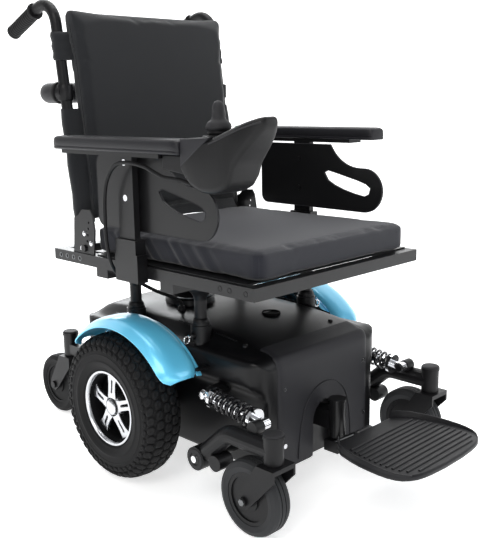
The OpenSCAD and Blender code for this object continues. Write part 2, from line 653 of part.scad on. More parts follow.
module joystick() color("#303135") at_frame() {
    translate(stick) sphere(r = 11);
    y_rod(stick[0], stick[2], 2.5, stick[1] - 18, stick[1] + 18);
    z_rod(stick[0], stick[1], 5, stick[2], 760);
    intersection() {
        translate([stick[0], stick[1], 745]) sphere(r = 24);
        z_rod(stick[0], stick[1], 30, 753, 780);
    }
    z_rod(stick[0], stick[1], 12, 764, 784);
    translate([stick[0], stick[1], 788]) sphere(r = 15.5);
}

module pod_button(x) at_frame() button_place(x) translate([0, 0, -6]) cylinder(r = 6, h = 9);
module power_button() color("#3d8b4f") pod_button(-282);
module horn_button() color("#c9a23a") pod_button(-242);

// ---- Back ----

module back_brackets() color("#1c1c1e") at_frame() for (s = [RIGHT, LEFT]) on_side(s) {
    difference() {
        yz_plate(250.5, 254.5) polygon([[98, rail_z], [92, 530], [98, 562], [106, 574], [138, 572], [150, 560], [168, 552], [176, rail_z]]);
        for (k = [0:4]) x_rod(112 + 3 * k, 545 - 14 * k, 3, 240, 260);
    }
    x_rod(hinge_back[0], hinge_back[1], 5, 233, 250.5);
    x_rod(hinge_back[0], hinge_back[1], 8, 254.5, 259);
}

module back_canes() color("#212226") at_frame() for (s = [RIGHT, LEFT]) on_side(s) difference() {
    union() {
        swept_tube([for (p = cane_path) [cane_x, p[0], p[1]]], cane_r, 24);
        yz_plate(cane_x, cane_x + 10) union() {
            polygon([[hinge_back[0] - 6, 490], [hinge_back[0] + 6, 480], [159, 497], [162, 528]]);
            translate(hinge_back) circle(r = 11);
        }
    }
    x_rod(hinge_back[0], hinge_back[1], 5 + run, 220, 260);
}

module push_grips() color("#1b1b1d") at_frame() for (s = [RIGHT, LEFT]) on_side(s)
    translate([cane_x, grip_start[0], grip_start[1]]) rotate([-90 - grip_drop, 0, 0]) difference() {
        union() {
            translate([0, 0, 14]) cylinder(r = 16.5, h = grip_len - 9);
            translate([0, 0, 14]) cylinder(r = 19, h = 5);
        }
        translate([0, 0, 13]) cylinder(r = cane_r + run, h = grip_len - 12);
    }

bar_z = 825;
bar_y = 280;
module back_bar() color("#1f2023") at_frame() difference() {
    union() {
        for (s = [RIGHT, LEFT]) on_side(s) {
            y_rod(cane_x, bar_z, 24, 212, bar_y);
            translate([cane_x, bar_y, bar_z]) sphere(r = 24);
            bar_yz(cane_x, [200.5, bar_z - 11], [203.5, bar_z + 11], 18);
        }
        x_rod(bar_y, bar_z, 24, -cane_x, cane_x);
    }
    for (s = [RIGHT, LEFT]) on_side(s) bar_yz(cane_x, cane_foot, bend_start, cane_r + run);
}

module back_upholstery() color("#2a2b31") at_frame() yz_plate(-216, 216) polygon([
    [126, 552], [130, 545], [160, 545], [168, 552], [222, 985], [212, 1005], [190, 1003], [182, 990]]);

// ---- Controller lead ----

lead_r = 4;
// Out of the pod's rear, along under the right pad and down behind the armrest post to the rail
upper_route = [[-288, -268, 655], [-291, -250, 660], [-294, -225, 663], [-297, -202, 665], [-299, -180, 672],
    [-300, -150, 682], [-301, -100, 688], [-301, -60, 682], [-300, -30, 655], [-298, -14, 618], [-296, -8, 560], [-293, -6, 516], [-285, -4, 480],
    [-272, 0, 457], [-261, 3, 446], [-250, 6, 440]];
// From the rail down to the grommet on the body's deck
lower_route = [[-248.8, 6.3, 439.4], [-238, 9, 434], [-222, 13, 428], [-200, 15, 418], [-175, 13, 402], [-150, 6, 387],
    [-128, -1, 376], [-110, -7, 366], [-101, -10, 359], [-100.5, -10, 350.5]];
module control_cable_upper() color("#18181a") at_frame() swept_tube(smooth(upper_route, 3), lead_r, 10, [1, 0, 0]);
module control_cable_lower() color("#18181a") at_frame() swept_tube(smooth(lower_route, 3), lead_r, 10, [0, 1, 0]);

chassis_frame();
batteries();
control_module();
drive_unit_right();
drive_unit_left();
body_shell();
front_cover();
fender_right();
fender_left();
rear_caster_arms();
column_sockets();
base_fasteners();
drive_tyre_right();
drive_tyre_left();
drive_rim_right();
drive_rim_left();
front_arm_right();
front_arm_left();
front_fork_right();
front_fork_left();
front_tyre_right();
front_tyre_left();
front_hub_right();
front_hub_left();
rear_fork_right();
rear_fork_left();
rear_wheel_right();
rear_wheel_left();
shock_body_right();
shock_body_left();
shock_rod_right();
shock_rod_left();
shock_spring_right();
shock_spring_left();
footrest_post();
footplate();
seat_frame();
seat_pan();
seat_columns();
seat_cushion();
seat_pin_right();
seat_pin_left();
armrest_post_right();
armrest_post_left();
side_guard_right();
side_guard_left();
arm_pad_right();
arm_pad_left();
pod_housing();
joystick_gimbal();
joystick();
power_button();
horn_button();
back_brackets();
back_canes();
push_grips();
back_bar();
back_upholstery();
control_cable_upper();
control_cable_lower();
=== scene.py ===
import math

import bmesh
import bpy
from mathutils import Matrix, Vector
from mathutils.bvhtree import BVHTree


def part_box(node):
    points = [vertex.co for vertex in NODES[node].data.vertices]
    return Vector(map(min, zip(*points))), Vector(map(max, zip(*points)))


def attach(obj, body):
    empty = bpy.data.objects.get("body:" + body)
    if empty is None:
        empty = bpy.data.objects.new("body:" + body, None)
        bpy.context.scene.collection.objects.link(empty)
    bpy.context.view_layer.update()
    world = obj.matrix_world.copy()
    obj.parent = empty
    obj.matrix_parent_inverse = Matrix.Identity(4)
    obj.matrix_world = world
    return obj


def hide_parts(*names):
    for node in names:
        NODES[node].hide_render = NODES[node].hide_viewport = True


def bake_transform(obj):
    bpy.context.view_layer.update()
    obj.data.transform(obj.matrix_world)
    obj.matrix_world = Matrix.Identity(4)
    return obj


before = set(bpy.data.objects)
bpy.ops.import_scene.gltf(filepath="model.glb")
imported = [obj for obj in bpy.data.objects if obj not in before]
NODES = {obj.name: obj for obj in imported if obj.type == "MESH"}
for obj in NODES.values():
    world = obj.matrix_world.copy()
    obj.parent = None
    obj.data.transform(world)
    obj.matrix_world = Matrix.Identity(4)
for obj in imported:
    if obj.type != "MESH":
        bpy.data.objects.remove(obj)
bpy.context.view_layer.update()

# Sizes are in millimetres, measured in plan from the drive axle, as the frame's source has them.
# Right is -X, the front is -Y. at() turns them into the shared frame's metres.
SIDES = (("right", -1), ("left", 1))


def node_span(node):
    lo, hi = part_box(node)
    return lo * 1000, hi * 1000


wheel_lo, wheel_hi = node_span("drive_tyre_right")
AXLE_Y = (wheel_lo.y + wheel_hi.y) / 2
TYRE_R = (wheel_hi.z - wheel_lo.z) / 2
TYRE_X = -(wheel_lo.x + wheel_hi.x) / 2


def at(x, y, z):
    return Vector((x, y + AXLE_Y, z)) / 1000


def local(point):
    """A frame point, back in millimetres from the axle."""
    return Vector((point.x * 1000, point.y * 1000 - AXLE_Y, point.z * 1000))


# ---- Camera ----

def place_camera():
    azimuth, down, roll = math.radians(-44.6), math.radians(12.0), math.radians(-1.0)
    back = Vector((math.sin(azimuth) * math.cos(down), -math.cos(azimuth) * math.cos(down), math.sin(down)))
    right = (-back).cross(Vector((0, 0, 1))).normalized()
    up = right.cross(-back)
    right, up = right * math.cos(roll) + up * math.sin(roll), up * math.cos(roll) - right * math.sin(roll)
    data = bpy.data.cameras.new("camera")
    camera = bpy.data.objects.new("camera", data)
    bpy.context.scene.collection.objects.link(camera)
    camera.matrix_world = Matrix.Translation(at(-1272.6, -1384.4, 806.6)) @ Matrix(
        (right, up, back)).transposed().to_4x4()
    data.sensor_fit, data.sensor_width = "AUTO", 36
    data.lens = 36 * 820.6 / 538
    data.shift_x, data.shift_y = 0.0214, 0.0065
    data.clip_start, data.clip_end = 0.05, 50
    bpy.context.scene.camera = camera


place_camera()

# ---- Materials ----

def material(name, colour, rough, metallic=0.0, coat=0.0, grain=400.0, bump=0.05, mottle=0.06, sheen=0.0,
             gloss_level=0.32):
    """A surface with a fine grain in its height, a slow drift in its gloss and a slight mottle in its colour."""
    mat = bpy.data.materials.new(name)
    mat.use_nodes = True
    nodes, links = mat.node_tree.nodes, mat.node_tree.links
    shader = nodes["Principled BSDF"]
    shader.inputs["Metallic"].default_value = metallic
    shader.inputs["Coat Weight"].default_value = coat
    shader.inputs["Coat Roughness"].default_value = 0.12
    shader.inputs["Sheen Weight"].default_value = sheen
    shader.inputs["Specular IOR Level"].default_value = gloss_level
    place = nodes.new("ShaderNodeTexCoord")
    drift = nodes.new("ShaderNodeTexNoise")
    drift.inputs["Scale"].default_value = 9.0
    links.new(place.outputs["Object"], drift.inputs["Vector"])
    gloss = nodes.new("ShaderNodeMapRange")
    gloss.inputs["To Min"].default_value = rough * 0.88
    gloss.inputs["To Max"].default_value = min(1.0, rough * 1.12)
    links.new(drift.outputs["Fac"], gloss.inputs["Value"])
    links.new(gloss.outputs["Result"], shader.inputs["Roughness"])
    tint = nodes.new("ShaderNodeMix")
    tint.data_type = "RGBA"
    tint.inputs["A"].default_value = (*[c * (1 - mottle) for c in colour], 1)
    tint.inputs["B"].default_value = (*[min(1, c * (1 + mottle)) for c in colour], 1)
    links.new(drift.outputs["Fac"], tint.inputs["Factor"])
    links.new(tint.outputs["Result"], shader.inputs["Base Color"])
    fine = nodes.new("ShaderNodeTexNoise")
    fine.inputs["Scale"].default_value = grain
    links.new(place.outputs["Object"], fine.inputs["Vector"])
    relief = nodes.new("ShaderNodeBump")
    relief.inputs["Strength"].default_value = bump
    relief.inputs["Distance"].default_value = 0.001
    links.new(fine.outputs["Fac"], relief.inputs["Height"])
    links.new(relief.outputs["Normal"], shader.inputs["Normal"])
    return mat


def woven(name, colour, rough, pitch=1.6, depth=0.35, sheen=0.25):
    """Cloth: two crossed sets of threads, over the plain material's drift."""
    mat = material(name, colour, rough, mottle=0.1, sheen=sheen, gloss_level=0.15)
    nodes, links = mat.node_tree.nodes, mat.node_tree.links
    place = next(n for n in nodes if n.type == "TEX_COORD")
    relief = next(n for n in nodes if n.type == "BUMP")
    heights = []
    for direction in ("X", "Z"):
        wave = nodes.new("ShaderNodeTexWave")
        wave.bands_direction = direction
        wave.inputs["Scale"].default_value = 2 * math.pi * 1000 / (pitch * 20)
        wave.inputs["Distortion"].default_value = 1.5
        wave.inputs["Detail"].default_value = 1.0
        links.new(place.outputs["Object"], wave.inputs["Vector"])
        heights.append(wave.outputs["Fac"])
    cross = nodes.new("ShaderNodeMath")
    cross.operation = "MULTIPLY"
    for socket, height in zip(cross.inputs, heights):
        links.new(height, socket)
    links.new(cross.outputs["Value"], relief.inputs["Height"])
    relief.inputs["Strength"].default_value = depth
    return mat


BLACK_PAINT = material("black_paint", (0.005, 0.005, 0.0056), 0.34, coat=0.10, bump=0.03, gloss_level=0.3)
SATIN_BLACK = material("satin_black", (0.006, 0.006, 0.0068), 0.42, coat=0.03, bump=0.05, gloss_level=0.22)
SHELL = material("shell_moulding", (0.0035, 0.0035, 0.0042), 0.36, coat=0.03, grain=900, bump=0.05,
    gloss_level=0.22)
COVER = material("cover_moulding", (0.020, 0.020, 0.023), 0.5, grain=900, bump=0.08, gloss_level=0.2)
# Painted shade: a near-black, dull material for pockets, grooves, recesses and wells where shade falls.
RECESS_SHADE = material("painted_recess_shade", (0.003, 0.003, 0.0035), 0.8, gloss_level=0.1)
BLUE = material("blue_lacquer", (0.135, 0.62, 0.98), 0.3, metallic=0.2, coat=0.8, grain=1500, bump=0.02,
    mottle=0.14, gloss_level=0.5)
TREAD = material("tread_rubber", (0.0075, 0.0075, 0.0080), 0.7, grain=600, bump=0.18, gloss_level=0.2)
CARCASS = material("tyre_rubber", (0.0055, 0.0055, 0.006), 0.66, grain=500, bump=0.12, gloss_level=0.2)
CASTER = material("caster_rubber", (0.026, 0.027, 0.029), 0.62, grain=500, bump=0.1, gloss_level=0.22)
ALLOY = material("cast_alloy", (0.58, 0.59, 0.61), 0.27, metallic=1.0, grain=300, bump=0.02, mottle=0.03)
CHROME = material("chrome_plate", (0.86, 0.87, 0.89), 0.10, metallic=1.0, bump=0.0, mottle=0.02)
STEEL = material("bolt_steel", (0.17, 0.175, 0.18), 0.34, metallic=1.0, bump=0.02)
SPRING = material("spring_lacquer", (0.010, 0.010, 0.012), 0.2, coat=0.5)
RUBBER = material("grip_rubber", (0.006, 0.006, 0.0066), 0.55, grain=700, bump=0.15, gloss_level=0.22)
VINYL = material("pad_vinyl", (0.012, 0.012, 0.0145), 0.45, grain=900, bump=0.16, gloss_level=0.25)
KNOB = material("stick_rubber", (0.022, 0.022, 0.024), 0.6, grain=900, bump=0.1, gloss_level=0.22)
POD = material("pod_moulding", (0.0055, 0.0055, 0.0060), 0.45, grain=1200, bump=0.12, gloss_level=0.22)
WEDGE = material("pod_deck", (0.020, 0.020, 0.023), 0.5, grain=900, bump=0.1, gloss_level=0.22)
PLATE = material("footplate_moulding", (0.0095, 0.0095, 0.011), 0.42, grain=700, bump=0.12, gloss_level=0.25)
GREEN = material("green_key", (0.03, 0.20, 0.06), 0.35, coat=0.4)
AMBER = material("amber_key", (0.45, 0.28, 0.04), 0.35, coat=0.4)
CLOTH = woven("seat_cloth", (0.0155, 0.0165, 0.0225), 0.8, pitch=1.3, depth=0.25)
BACK_CLOTH = woven("back_cloth", (0.0125, 0.0135, 0.0155), 0.85, pitch=1.1, depth=0.25)

# ---- Making pieces ----

def finish_piece(obj, mat, body, stands_for=(), slot=None, angle=38, bevel=0.0):
    obj.data.materials.clear()
    obj.data.materials.append(mat)
    obj.data.shade_smooth()
    if bevel:
        soften(obj, bevel)
    obj.data.set_sharp_from_angle(angle=math.radians(angle))
    if stands_for:
        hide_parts(*stands_for)
    if body:
        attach(obj, body)
    return obj


def soften(obj, width, segments=2, limit=32):
    bevel = obj.modifiers.new("edges", "BEVEL")
    bevel.width, bevel.segments = width / 1000, segments
    bevel.limit_method, bevel.angle_limit = "ANGLE", math.radians(limit)
    bevel.harden_normals = False


def piece(name, verts, faces, mat, body, **kw):
    """A mesh from points in millimetres from the axle."""
    data = bpy.data.meshes.new(name)
    data.from_pydata([at(*v) for v in verts], [], faces)
    obj = bpy.data.objects.new(name, data)
    bpy.context.scene.collection.objects.link(obj)
    bm = bmesh.new()
    bm.from_mesh(data)
    bmesh.ops.remove_doubles(bm, verts=bm.verts, dist=1e-6)
    bmesh.ops.recalc_face_normals(bm, faces=bm.faces)
    bm.to_mesh(data)
    bm.free()
    return finish_piece(obj, mat, body, **kw)


def loft(rings, closed=True, caps=True):
    """Joins rings of equal length, point to point."""
    n = len(rings[0])
    verts = [p for ring in rings for p in ring]
    faces = []
    for i in range(len(rings) - 1):
        for k in range(n if closed else n - 1):
            j = (k + 1) % n
            faces.append((i * n + k, i * n + j, (i + 1) * n + j, (i + 1) * n + k))
    if caps:
        faces += [tuple(range(n)), tuple((len(rings) - 1) * n + k for k in reversed(range(n)))]
    return verts, faces


def turned(name, profile, centre, axis, mat, body, steps=64, **kw):
    """Turns (distance along, radius) pairs round an axis, X, Y or Z, through centre."""
    rings = []
    for k in range(steps):
        a = 2 * math.pi * k / steps
        c, s = math.cos(a), math.sin(a)
        spin = {"X": lambda d, r: (d, r * c, r * s), "Y": lambda d, r: (r * s, d, r * c),
                "Z": lambda d, r: (r * c, r * s, d)}[axis]
        rings.append([tuple(centre[i] + spin(d, r)[i] for i in range(3)) for d, r in profile])
    verts, faces = loft(rings + [rings[0]], closed=False, caps=False)
    return piece(name, verts, faces, mat, body, **kw)


def tube(name, points, radius, mat, body, sides=12, rounded=0, **kw):
    """A round bar along a smooth route; radius is a number or one for each point."""
    route = smooth_route([Vector(p) for p in points], rounded) if rounded else [Vector(p) for p in points]
    span = len(route) - 1
    rings, side = [], None
    for i, p in enumerate(route):
        t = (route[min(i + 1, span)] - route[max(i - 1, 0)]).normalized()
        if side is None:
            side = t.cross(Vector((0, 0, 1)) if abs(t.z) < 0.9 else Vector((1, 0, 0))).normalized()
        side = (side - t * side.dot(t)).normalized()
        other = t.cross(side)
        r = radius if isinstance(radius, (int, float)) else radius[min(len(radius) - 1,
            round(i * (len(radius) - 1) / span))]
        rings.append([tuple(p + r * (math.cos(2 * math.pi * k / sides) * side
                                     + math.sin(2 * math.pi * k / sides) * other))
                      for k in range(sides)])
    verts, faces = loft(rings)
    return piece(name, verts, faces, mat, body, **kw)


def smooth_route(p, cuts):
    out = []
    for i in range(len(p) - 1):
        a, b, c, d = p[max(i - 1, 0)], p[i], p[i + 1], p[min(i + 2, len(p) - 1)]
        for k in range(cuts):
            t = k / cuts
            out.append(0.5 * (2 * b + (c - a) * t + (2 * a - 5 * b + 4 * c - d) * t * t
                              + (3 * b - a - 3 * c + d) * t ** 3))
    return out + [p[-1]]


def plate(name, outline, holes, thick, edge, place, mat, body, **kw):
    """A flat piece with rounded edges. Outline and holes are (u, v); place turns (u, v, w) into millimetres."""
    curve = bpy.data.curves.new(name, "CURVE")
    curve.dimensions, curve.fill_mode = "2D", "BOTH"
    curve.extrude = max(thick / 2 - edge, 0.01)
    curve.bevel_depth, curve.bevel_resolution, curve.offset = edge, 3, -edge
    for ring in [outline, *holes]:
        spline = curve.splines.new("POLY")
        spline.points.add(len(ring) - 1)
        for point, (u, v) in zip(spline.points, ring):
            point.co = (u, v, 0, 1)
        spline.use_cyclic_u = True
    maker = bpy.data.objects.new(name + "_curve", curve)
    bpy.context.scene.collection.objects.link(maker)
    bpy.context.view_layer.update()
    made = bpy.data.meshes.new_from_object(maker.evaluated_get(bpy.context.evaluated_depsgraph_get()))
    verts = [place(*v.co) for v in made.vertices]
    faces = [tuple(f.vertices) for f in made.polygons]
    bpy.data.objects.remove(maker)
    return piece(name, verts, faces, mat, body, **kw)


def arc(cy, cz, r, a0, a1, n):
    return [(cy + r * math.cos(math.radians(a0 + (a1 - a0) * i / n)),
        cz + r * math.sin(math.radians(a0 + (a1 - a0) * i / n)))
            for i in range(n + 1)]


def side_plane(x, side=1):
    """Places (y, z, w) with w across the chair, at x on one side."""
    return lambda u, v, w: (side * (x + w), u, v)


def cut(obj, cutter):
    boolean = obj.modifiers.new("cut", "BOOLEAN")
    boolean.operation, boolean.object, boolean.solver = "DIFFERENCE", cutter, "EXACT"
    bpy.context.view_layer.update()
    made = bpy.data.meshes.new_from_object(obj.evaluated_get(bpy.context.evaluated_depsgraph_get()))
    obj.modifiers.remove(boolean)
    obj.data = made
    bpy.data.objects.remove(cutter)


def prism(outline, y0, y1):
    """A bare cutter: an (x, z) outline along Y."""
    verts, faces = loft([[(x, y0, z) for x, z in outline], [(x, y1, z) for x, z in outline]])
    data = bpy.data.meshes.new("cutter")
    data.from_pydata([at(*v) for v in verts], [], faces)
    obj = bpy.data.objects.new("cutter", data)
    bpy.context.scene.collection.objects.link(obj)
    bm = bmesh.new()
    bm.from_mesh(data)
    bmesh.ops.recalc_face_normals(bm, faces=bm.faces)
    bm.to_mesh(data)
    bm.free()
    return obj


# ---- Frame pieces that keep their shape ----

for names, mat, edge in (
        (("chassis_frame", "rear_caster_arms", "seat_frame", "footrest_post", "seat_pan"), BLACK_PAINT, 1.2),
        (("batteries", "control_module", "drive_unit_right", "drive_unit_left"), SATIN_BLACK, 1.0),
        (("column_sockets", "seat_columns", "front_arm_right", "front_arm_left", "front_fork_right",
          "front_fork_left", "rear_fork_right", "rear_fork_left"), SATIN_BLACK, 1.6),
        (("armrest_post_right", "armrest_post_left", "back_brackets", "side_guard_right", "side_guard_left"),
        BLACK_PAINT, 0.8),
        (("base_fasteners", "seat_pin_right", "seat_pin_left"), CHROME, 0.5),
        (("shock_body_right", "shock_body_left", "shock_rod_right", "shock_rod_left"), CHROME, 0.8),
        (("shock_spring_right", "shock_spring_left"), SPRING, 0),
        (("front_tyre_right", "front_tyre_left"), CASTER, 0),
        (("front_hub_right", "front_hub_left"), SATIN_BLACK, 0.8),
        (("rear_wheel_right", "rear_wheel_left"), CARCASS, 0),
        (("back_canes",), SATIN_BLACK, 0),
        # The gimbal is coloured with the painted recess shade.
        (("joystick_gimbal",), RECESS_SHADE, 0),
        (("power_button",), GREEN, 0.6), (("horn_button",), AMBER, 0.6)):
    for name in names:
        NODES[name].data.materials.clear()
        NODES[name].data.materials.append(mat)
        if edge:
            soften(NODES[name], edge)

# ---- Drive wheels ----

# Half the carcass outline, from the middle of the tread to the bead, as (across, radius)
CARCASS_HALF = [(0, 155.4), (12, 155), (22, 153.6), (31, 150.2), (38, 144), (42.5, 136), (44.6, 127),
    (45.4, 121.5),
                (46, 121), (46, 119), (45.4, 118.5), (45.2, 110), (45.4, 104.5), (45.8, 104), (45.4, 102),
                (43.6, 96),
                (41, 91), (40.6, 88), (38, 86), (36, 81.5), (33, 79.5)]
CARCASS_ARC = [0.0]
for (xa, ra), (xb, rb) in zip(CARCASS_HALF, CARCASS_HALF[1:]):
    CARCASS_ARC.append(CARCASS_ARC[-1] + math.hypot(xb - xa, rb - ra))


def on_carcass(s, height):
    """(across, radius) at arc length s from the tread's middle, raised by height."""
    a = min(abs(s), CARCASS_ARC[-1] - 0.01)
    i = next(k for k in range(1, len(CARCASS_ARC)) if CARCASS_ARC[k] > a)
    (xa, ra), (xb, rb) = CARCASS_HALF[i - 1], CARCASS_HALF[i]
    f = (a - CARCASS_ARC[i - 1]) / (CARCASS_ARC[i] - CARCASS_ARC[i - 1])
    run, rise = xb - xa, rb - ra
    size = math.hypot(run, rise)
    x, r = xa + run * f - rise / size * height, ra + rise * f + run / size * height
    return (x if s >= 0 else -x), r


BLOCKS_ROUND = 46
# Rows of blocks: distance from the middle, half width, half length in degrees, stagger
ROWS = ((0, 9.0, 3.5, 0.0), (19.5, 9.2, 3.5, 0.5), (-19.5, 9.2, 3.5, 0.5), (38.5, 8.6, 3.4, 0.0),
    (-38.5, 8.6, 3.4, 0.0),
        (54, 5.2, 3.0, 0.5), (-54, 5.2, 3.0, 0.5))
# A block's outline, as shares of its half width and half length
BLOCK = ((-1, -0.35), (-0.55, -0.9), (0.1, -1.0), (0.75, -0.7), (1, 0.3), (0.6, 0.9), (-0.1, 1.0), (-0.75, 0.7))


def drive_tyre(side, s):
    outline = [(-x, r) for x, r in reversed(CARCASS_HALF)] + CARCASS_HALF[1:]
    turned("tyre_carcass_" + side, outline, (s * TYRE_X, 0, TYRE_R), "X", CARCASS, "drive_wheel_" + side,
           steps=120, stands_for=("drive_tyre_" + side,), slot="tyre_black")
    verts, faces = [], []
    for middle, half_w, half_a, stagger in ROWS:
        for k in range(BLOCKS_ROUND):
            turn = 360 * (k + stagger) / BLOCKS_ROUND
            start = len(verts)
            for height, share in ((-1.0, 1.04), (2.9, 1.0), (4.3, 0.82), (4.4, 0.42), (3.7, 0.26)):
                for u, v in BLOCK:
                    x, r = on_carcass(middle + half_w * share * u, height if abs(middle) < 50 else height * 0.6)
                    a = math.radians(turn + half_a * share * v + 0.6 * u)
                    verts.append((s * TYRE_X + x, r * math.sin(a), TYRE_R + r * math.cos(a)))
            n = len(BLOCK)
            for level in range(4):
                for j in range(n):
                    q = (j + 1) % n
                    faces.append((start + level * n + j, start + level * n + q, start + (level + 1) * n + q,
                        start + (level + 1) * n + j))
            faces.append(tuple(start + 4 * n + j for j in range(n)))
    piece("tyre_blocks_" + side, verts, faces, TREAD, "drive_wheel_" + side, slot="tyre_black", angle=50)


def drive_rim(side, s):
    body, centre = "drive_wheel_" + side, (s * TYRE_X, 0, TYRE_R)

    def out(profile):
        return [(s * d, r) for d, r in profile]

    # Painted shade: the rim's inner barrel, seen through the spoke pockets, is drawn near-black.
    turned("rim_barrel_" + side, out([(-33, 79.6), (30, 79.6), (33, 78), (33, 75.4), (26, 71), (18, 70),
        (-33, 72)]), centre, "X", RECESS_SHADE, body,
           steps=96, stands_for=("drive_rim_" + side,), slot="rim_silver")
    turned("rim_lip_" + side, out([(32.2, 79.8), (36.5, 82.5), (38.6, 82), (38.8, 78), (36, 75.6), (32.2, 75)]),
        centre, "X", ALLOY, body,
           steps=96, slot="rim_silver")
    # Painted shade: a dark disc behind the spokes stands for the shade in the pockets.
    turned("rim_back_" + side, out([(2, 0), (2, 71), (-2, 71), (-2, 0)]), centre, "X", RECESS_SHADE, body,
        slot="rim_silver")
    turned("hub_boss_" + side, out([(0, 0), (0, 27), (22, 26), (26, 23), (27, 20), (27, 0)]), centre, "X",
        ALLOY, body, slot="rim_silver")
    turned("hub_cap_" + side, out([(26, 0), (26, 17.5), (31, 16.5), (32.5, 14), (33, 8), (33.2, 0)]), centre,
        "X", ALLOY, body, slot="rim_silver")
    # Painted shade in the corner between the hub's boss and its cap.
    turned("hub_ring_" + side, out([(27.5, 18), (28.2, 18.6), (28.2, 20), (27, 20.6), (26.5, 19)]), centre, "X",
        RECESS_SHADE, body, slot="rim_silver")
    for k in range(5):
        a = math.radians(90 + 72 * k)
        c, sn = math.cos(a), math.sin(a)

        def place(u, v, w, c=c, sn=sn):
            lift = 23 - 4 * max(0, (u - 24) / 46) ** 2
            return (s * (TYRE_X + lift + w), u * c - v * sn, TYRE_R + u * sn + v * c)

        outline = [(19, -13.5), (34, -11.5), (52, -11.5), (66, -15), (72.5, -19), (72.5, 19), (66, 15),
            (52, 11.5), (34, 11.5), (19, 13.5)]
        groove = [(33, -2.2), (58, -2.9), (61, 0), (58, 2.9), (33, 2.2), (31, 0)]
        plate(f"spoke_{k}_{side}", outline, [groove], 9, 1.6, place, ALLOY, body, slot="rim_silver")


for side, s in SIDES:
    drive_tyre(side, s)
    drive_rim(side, s)

# ---- Fenders ----

FENDER_Y, FENDER_Z, FENDER_R = -35, 150, 214


def fender(side, s):
    """A crowned strip over the wheel, wider and rolled down at its ends, with a lip along the body side."""
    rings = []
    steps = 44
    for i in range(steps + 1):
        t = i / steps
        a = math.radians(41 + 106 * t)
        end = min(t, 1 - t) / 0.09
        tuck = math.sqrt(max(0, 1 - (1 - min(1, end)) ** 2))
        x0, x1 = 226 + 14 * (1 - tuck), 318 - 22 * (1 - tuck)
        section = []
        for k in range(17):
            u = k / 16
            across = x0 + (x1 - x0) * u
            crown = 1 - abs(2 * u - 0.92) ** 3.2 * (0.75 if u < 0.46 else 1.0)
            r = FENDER_R - 17 + 17 * max(0, crown) - 3 * (1 - tuck)
            section.append((s * across, FENDER_Y + r * math.cos(a), FENDER_Z + r * math.sin(a)))
        rings.append(section)
    verts, faces = loft(rings, closed=False, caps=False)
    obj = piece("fender_skin_" + side, verts, faces, BLUE, "base", stands_for=("fender_" + side,),
        slot="fender_blue", angle=60)
    shell = obj.modifiers.new("wall", "SOLIDIFY")
    shell.thickness, shell.offset = 0.0032, -1
    soften(obj, 1.2)
    lip = [(s * 224.5, FENDER_Y + (FENDER_R - 13) * math.cos(math.radians(a)),
        FENDER_Z + (FENDER_R - 13) * math.sin(math.radians(a)))
           for a in range(42, 147, 4)]
    verts, faces = loft([[(x - s * 9, y, z - 5), (x - s * 9, y, z - 2.4), (x + s * 5, y, z),
        (x + s * 5, y, z - 2.6)] for x, y, z in lip])
    piece("fender_lip_" + side, verts, faces, BLUE, "base", slot="fender_blue", bevel=0.6)
    for y, z, name in ((89, 307, "rear"), (-195, 272, "front")):
        verts, faces = loft([[(s * x, y - 10, z - 2), (s * x, y + 10, z - 2), (s * x, y + 10, z + 2),
            (s * x, y - 10, z + 2)]
                             for x in (190, 231)])
        piece(f"fender_stay_{name}_{side}", verts, faces, BLACK_PAINT, "base", slot="frame_black", bevel=0.6)


for side, s in SIDES:
    fender(side, s)

# ---- Body shell and front cover ----

# The deck's height along the body, front to back, as (y, z)
DECK = ((-343, 284), (-341.5, 292), (-337, 300), (-329, 307), (-312, 313), (-270, 322), (-228, 330),
    (-155, 337), (-60, 340),
        (30, 342), (120, 345), (185, 340), (214, 328), (232, 314), (242, 300), (246, 286))


def shell_outline(y, top):
    """Half the body's outline at y, floor to ridge, as (x, z)."""
    shoulder = min(305, top - 6)
    lower = [(0, 66), (150, 66), (164, 69), (170, 78), (170, 212), (171.5, 224), (177, 234), (187, 243),
        (194, 250.5),
             (197, 259), (197, shoulder - 15), (195, shoulder - 7), (190, shoulder - 2), (182, shoulder)]
    ridge = max(0.0, top - shoulder - 6)
    upper = [(170, shoulder + 0.12 * ridge), (158, shoulder + 0.45 * ridge + 1.5),
        (150, shoulder + 0.72 * ridge + 3),
             (145, shoulder + 0.80 * ridge + 4), (130, shoulder + 0.88 * ridge + 5), (90, top - 1.2), (40, top),
             (0, top)]
    return lower + upper


def plan_limit(y, half=197, radius=42, front=-343, back=246):
    d = min(y - front, back - y)
    return half if d >= radius else half - radius + math.sqrt(max(0, radius ** 2 - (radius - d) ** 2))


def body_shell():
    stations = sorted({y for y, z in DECK} | {-300, -318, -190, -110, -20, 75, 155, 204, 225, 238})
    rings = []
    for y in stations:
        (ya, za), (yb, zb) = next((a, b) for a, b in zip(DECK, DECK[1:]) if a[0] <= y <= b[0])
        top = za + (zb - za) * (y - ya) / (yb - ya)
        half = [(min(x, plan_limit(y)), z) for x, z in shell_outline(y, top)]
        rings.append([(x, y, z) for x, z in half] + [(-x, y, z) for x, z in reversed(half[1:-1])])
    verts, faces = loft(rings)
    shell = piece("body_moulding", verts, faces, SHELL, "base", stands_for=("body_shell",), slot="shell_black",
        angle=50)
    cut(shell, prism(ARCH, -360, -322))
    shell.data.shade_smooth()
    shell.data.set_sharp_from_angle(angle=math.radians(42))


ARCH = [(-40, 60)] + [(x, z) for x, z in arc(0, 146, 40, 180, 0, 20)] + [(40, 60)]
body_shell()


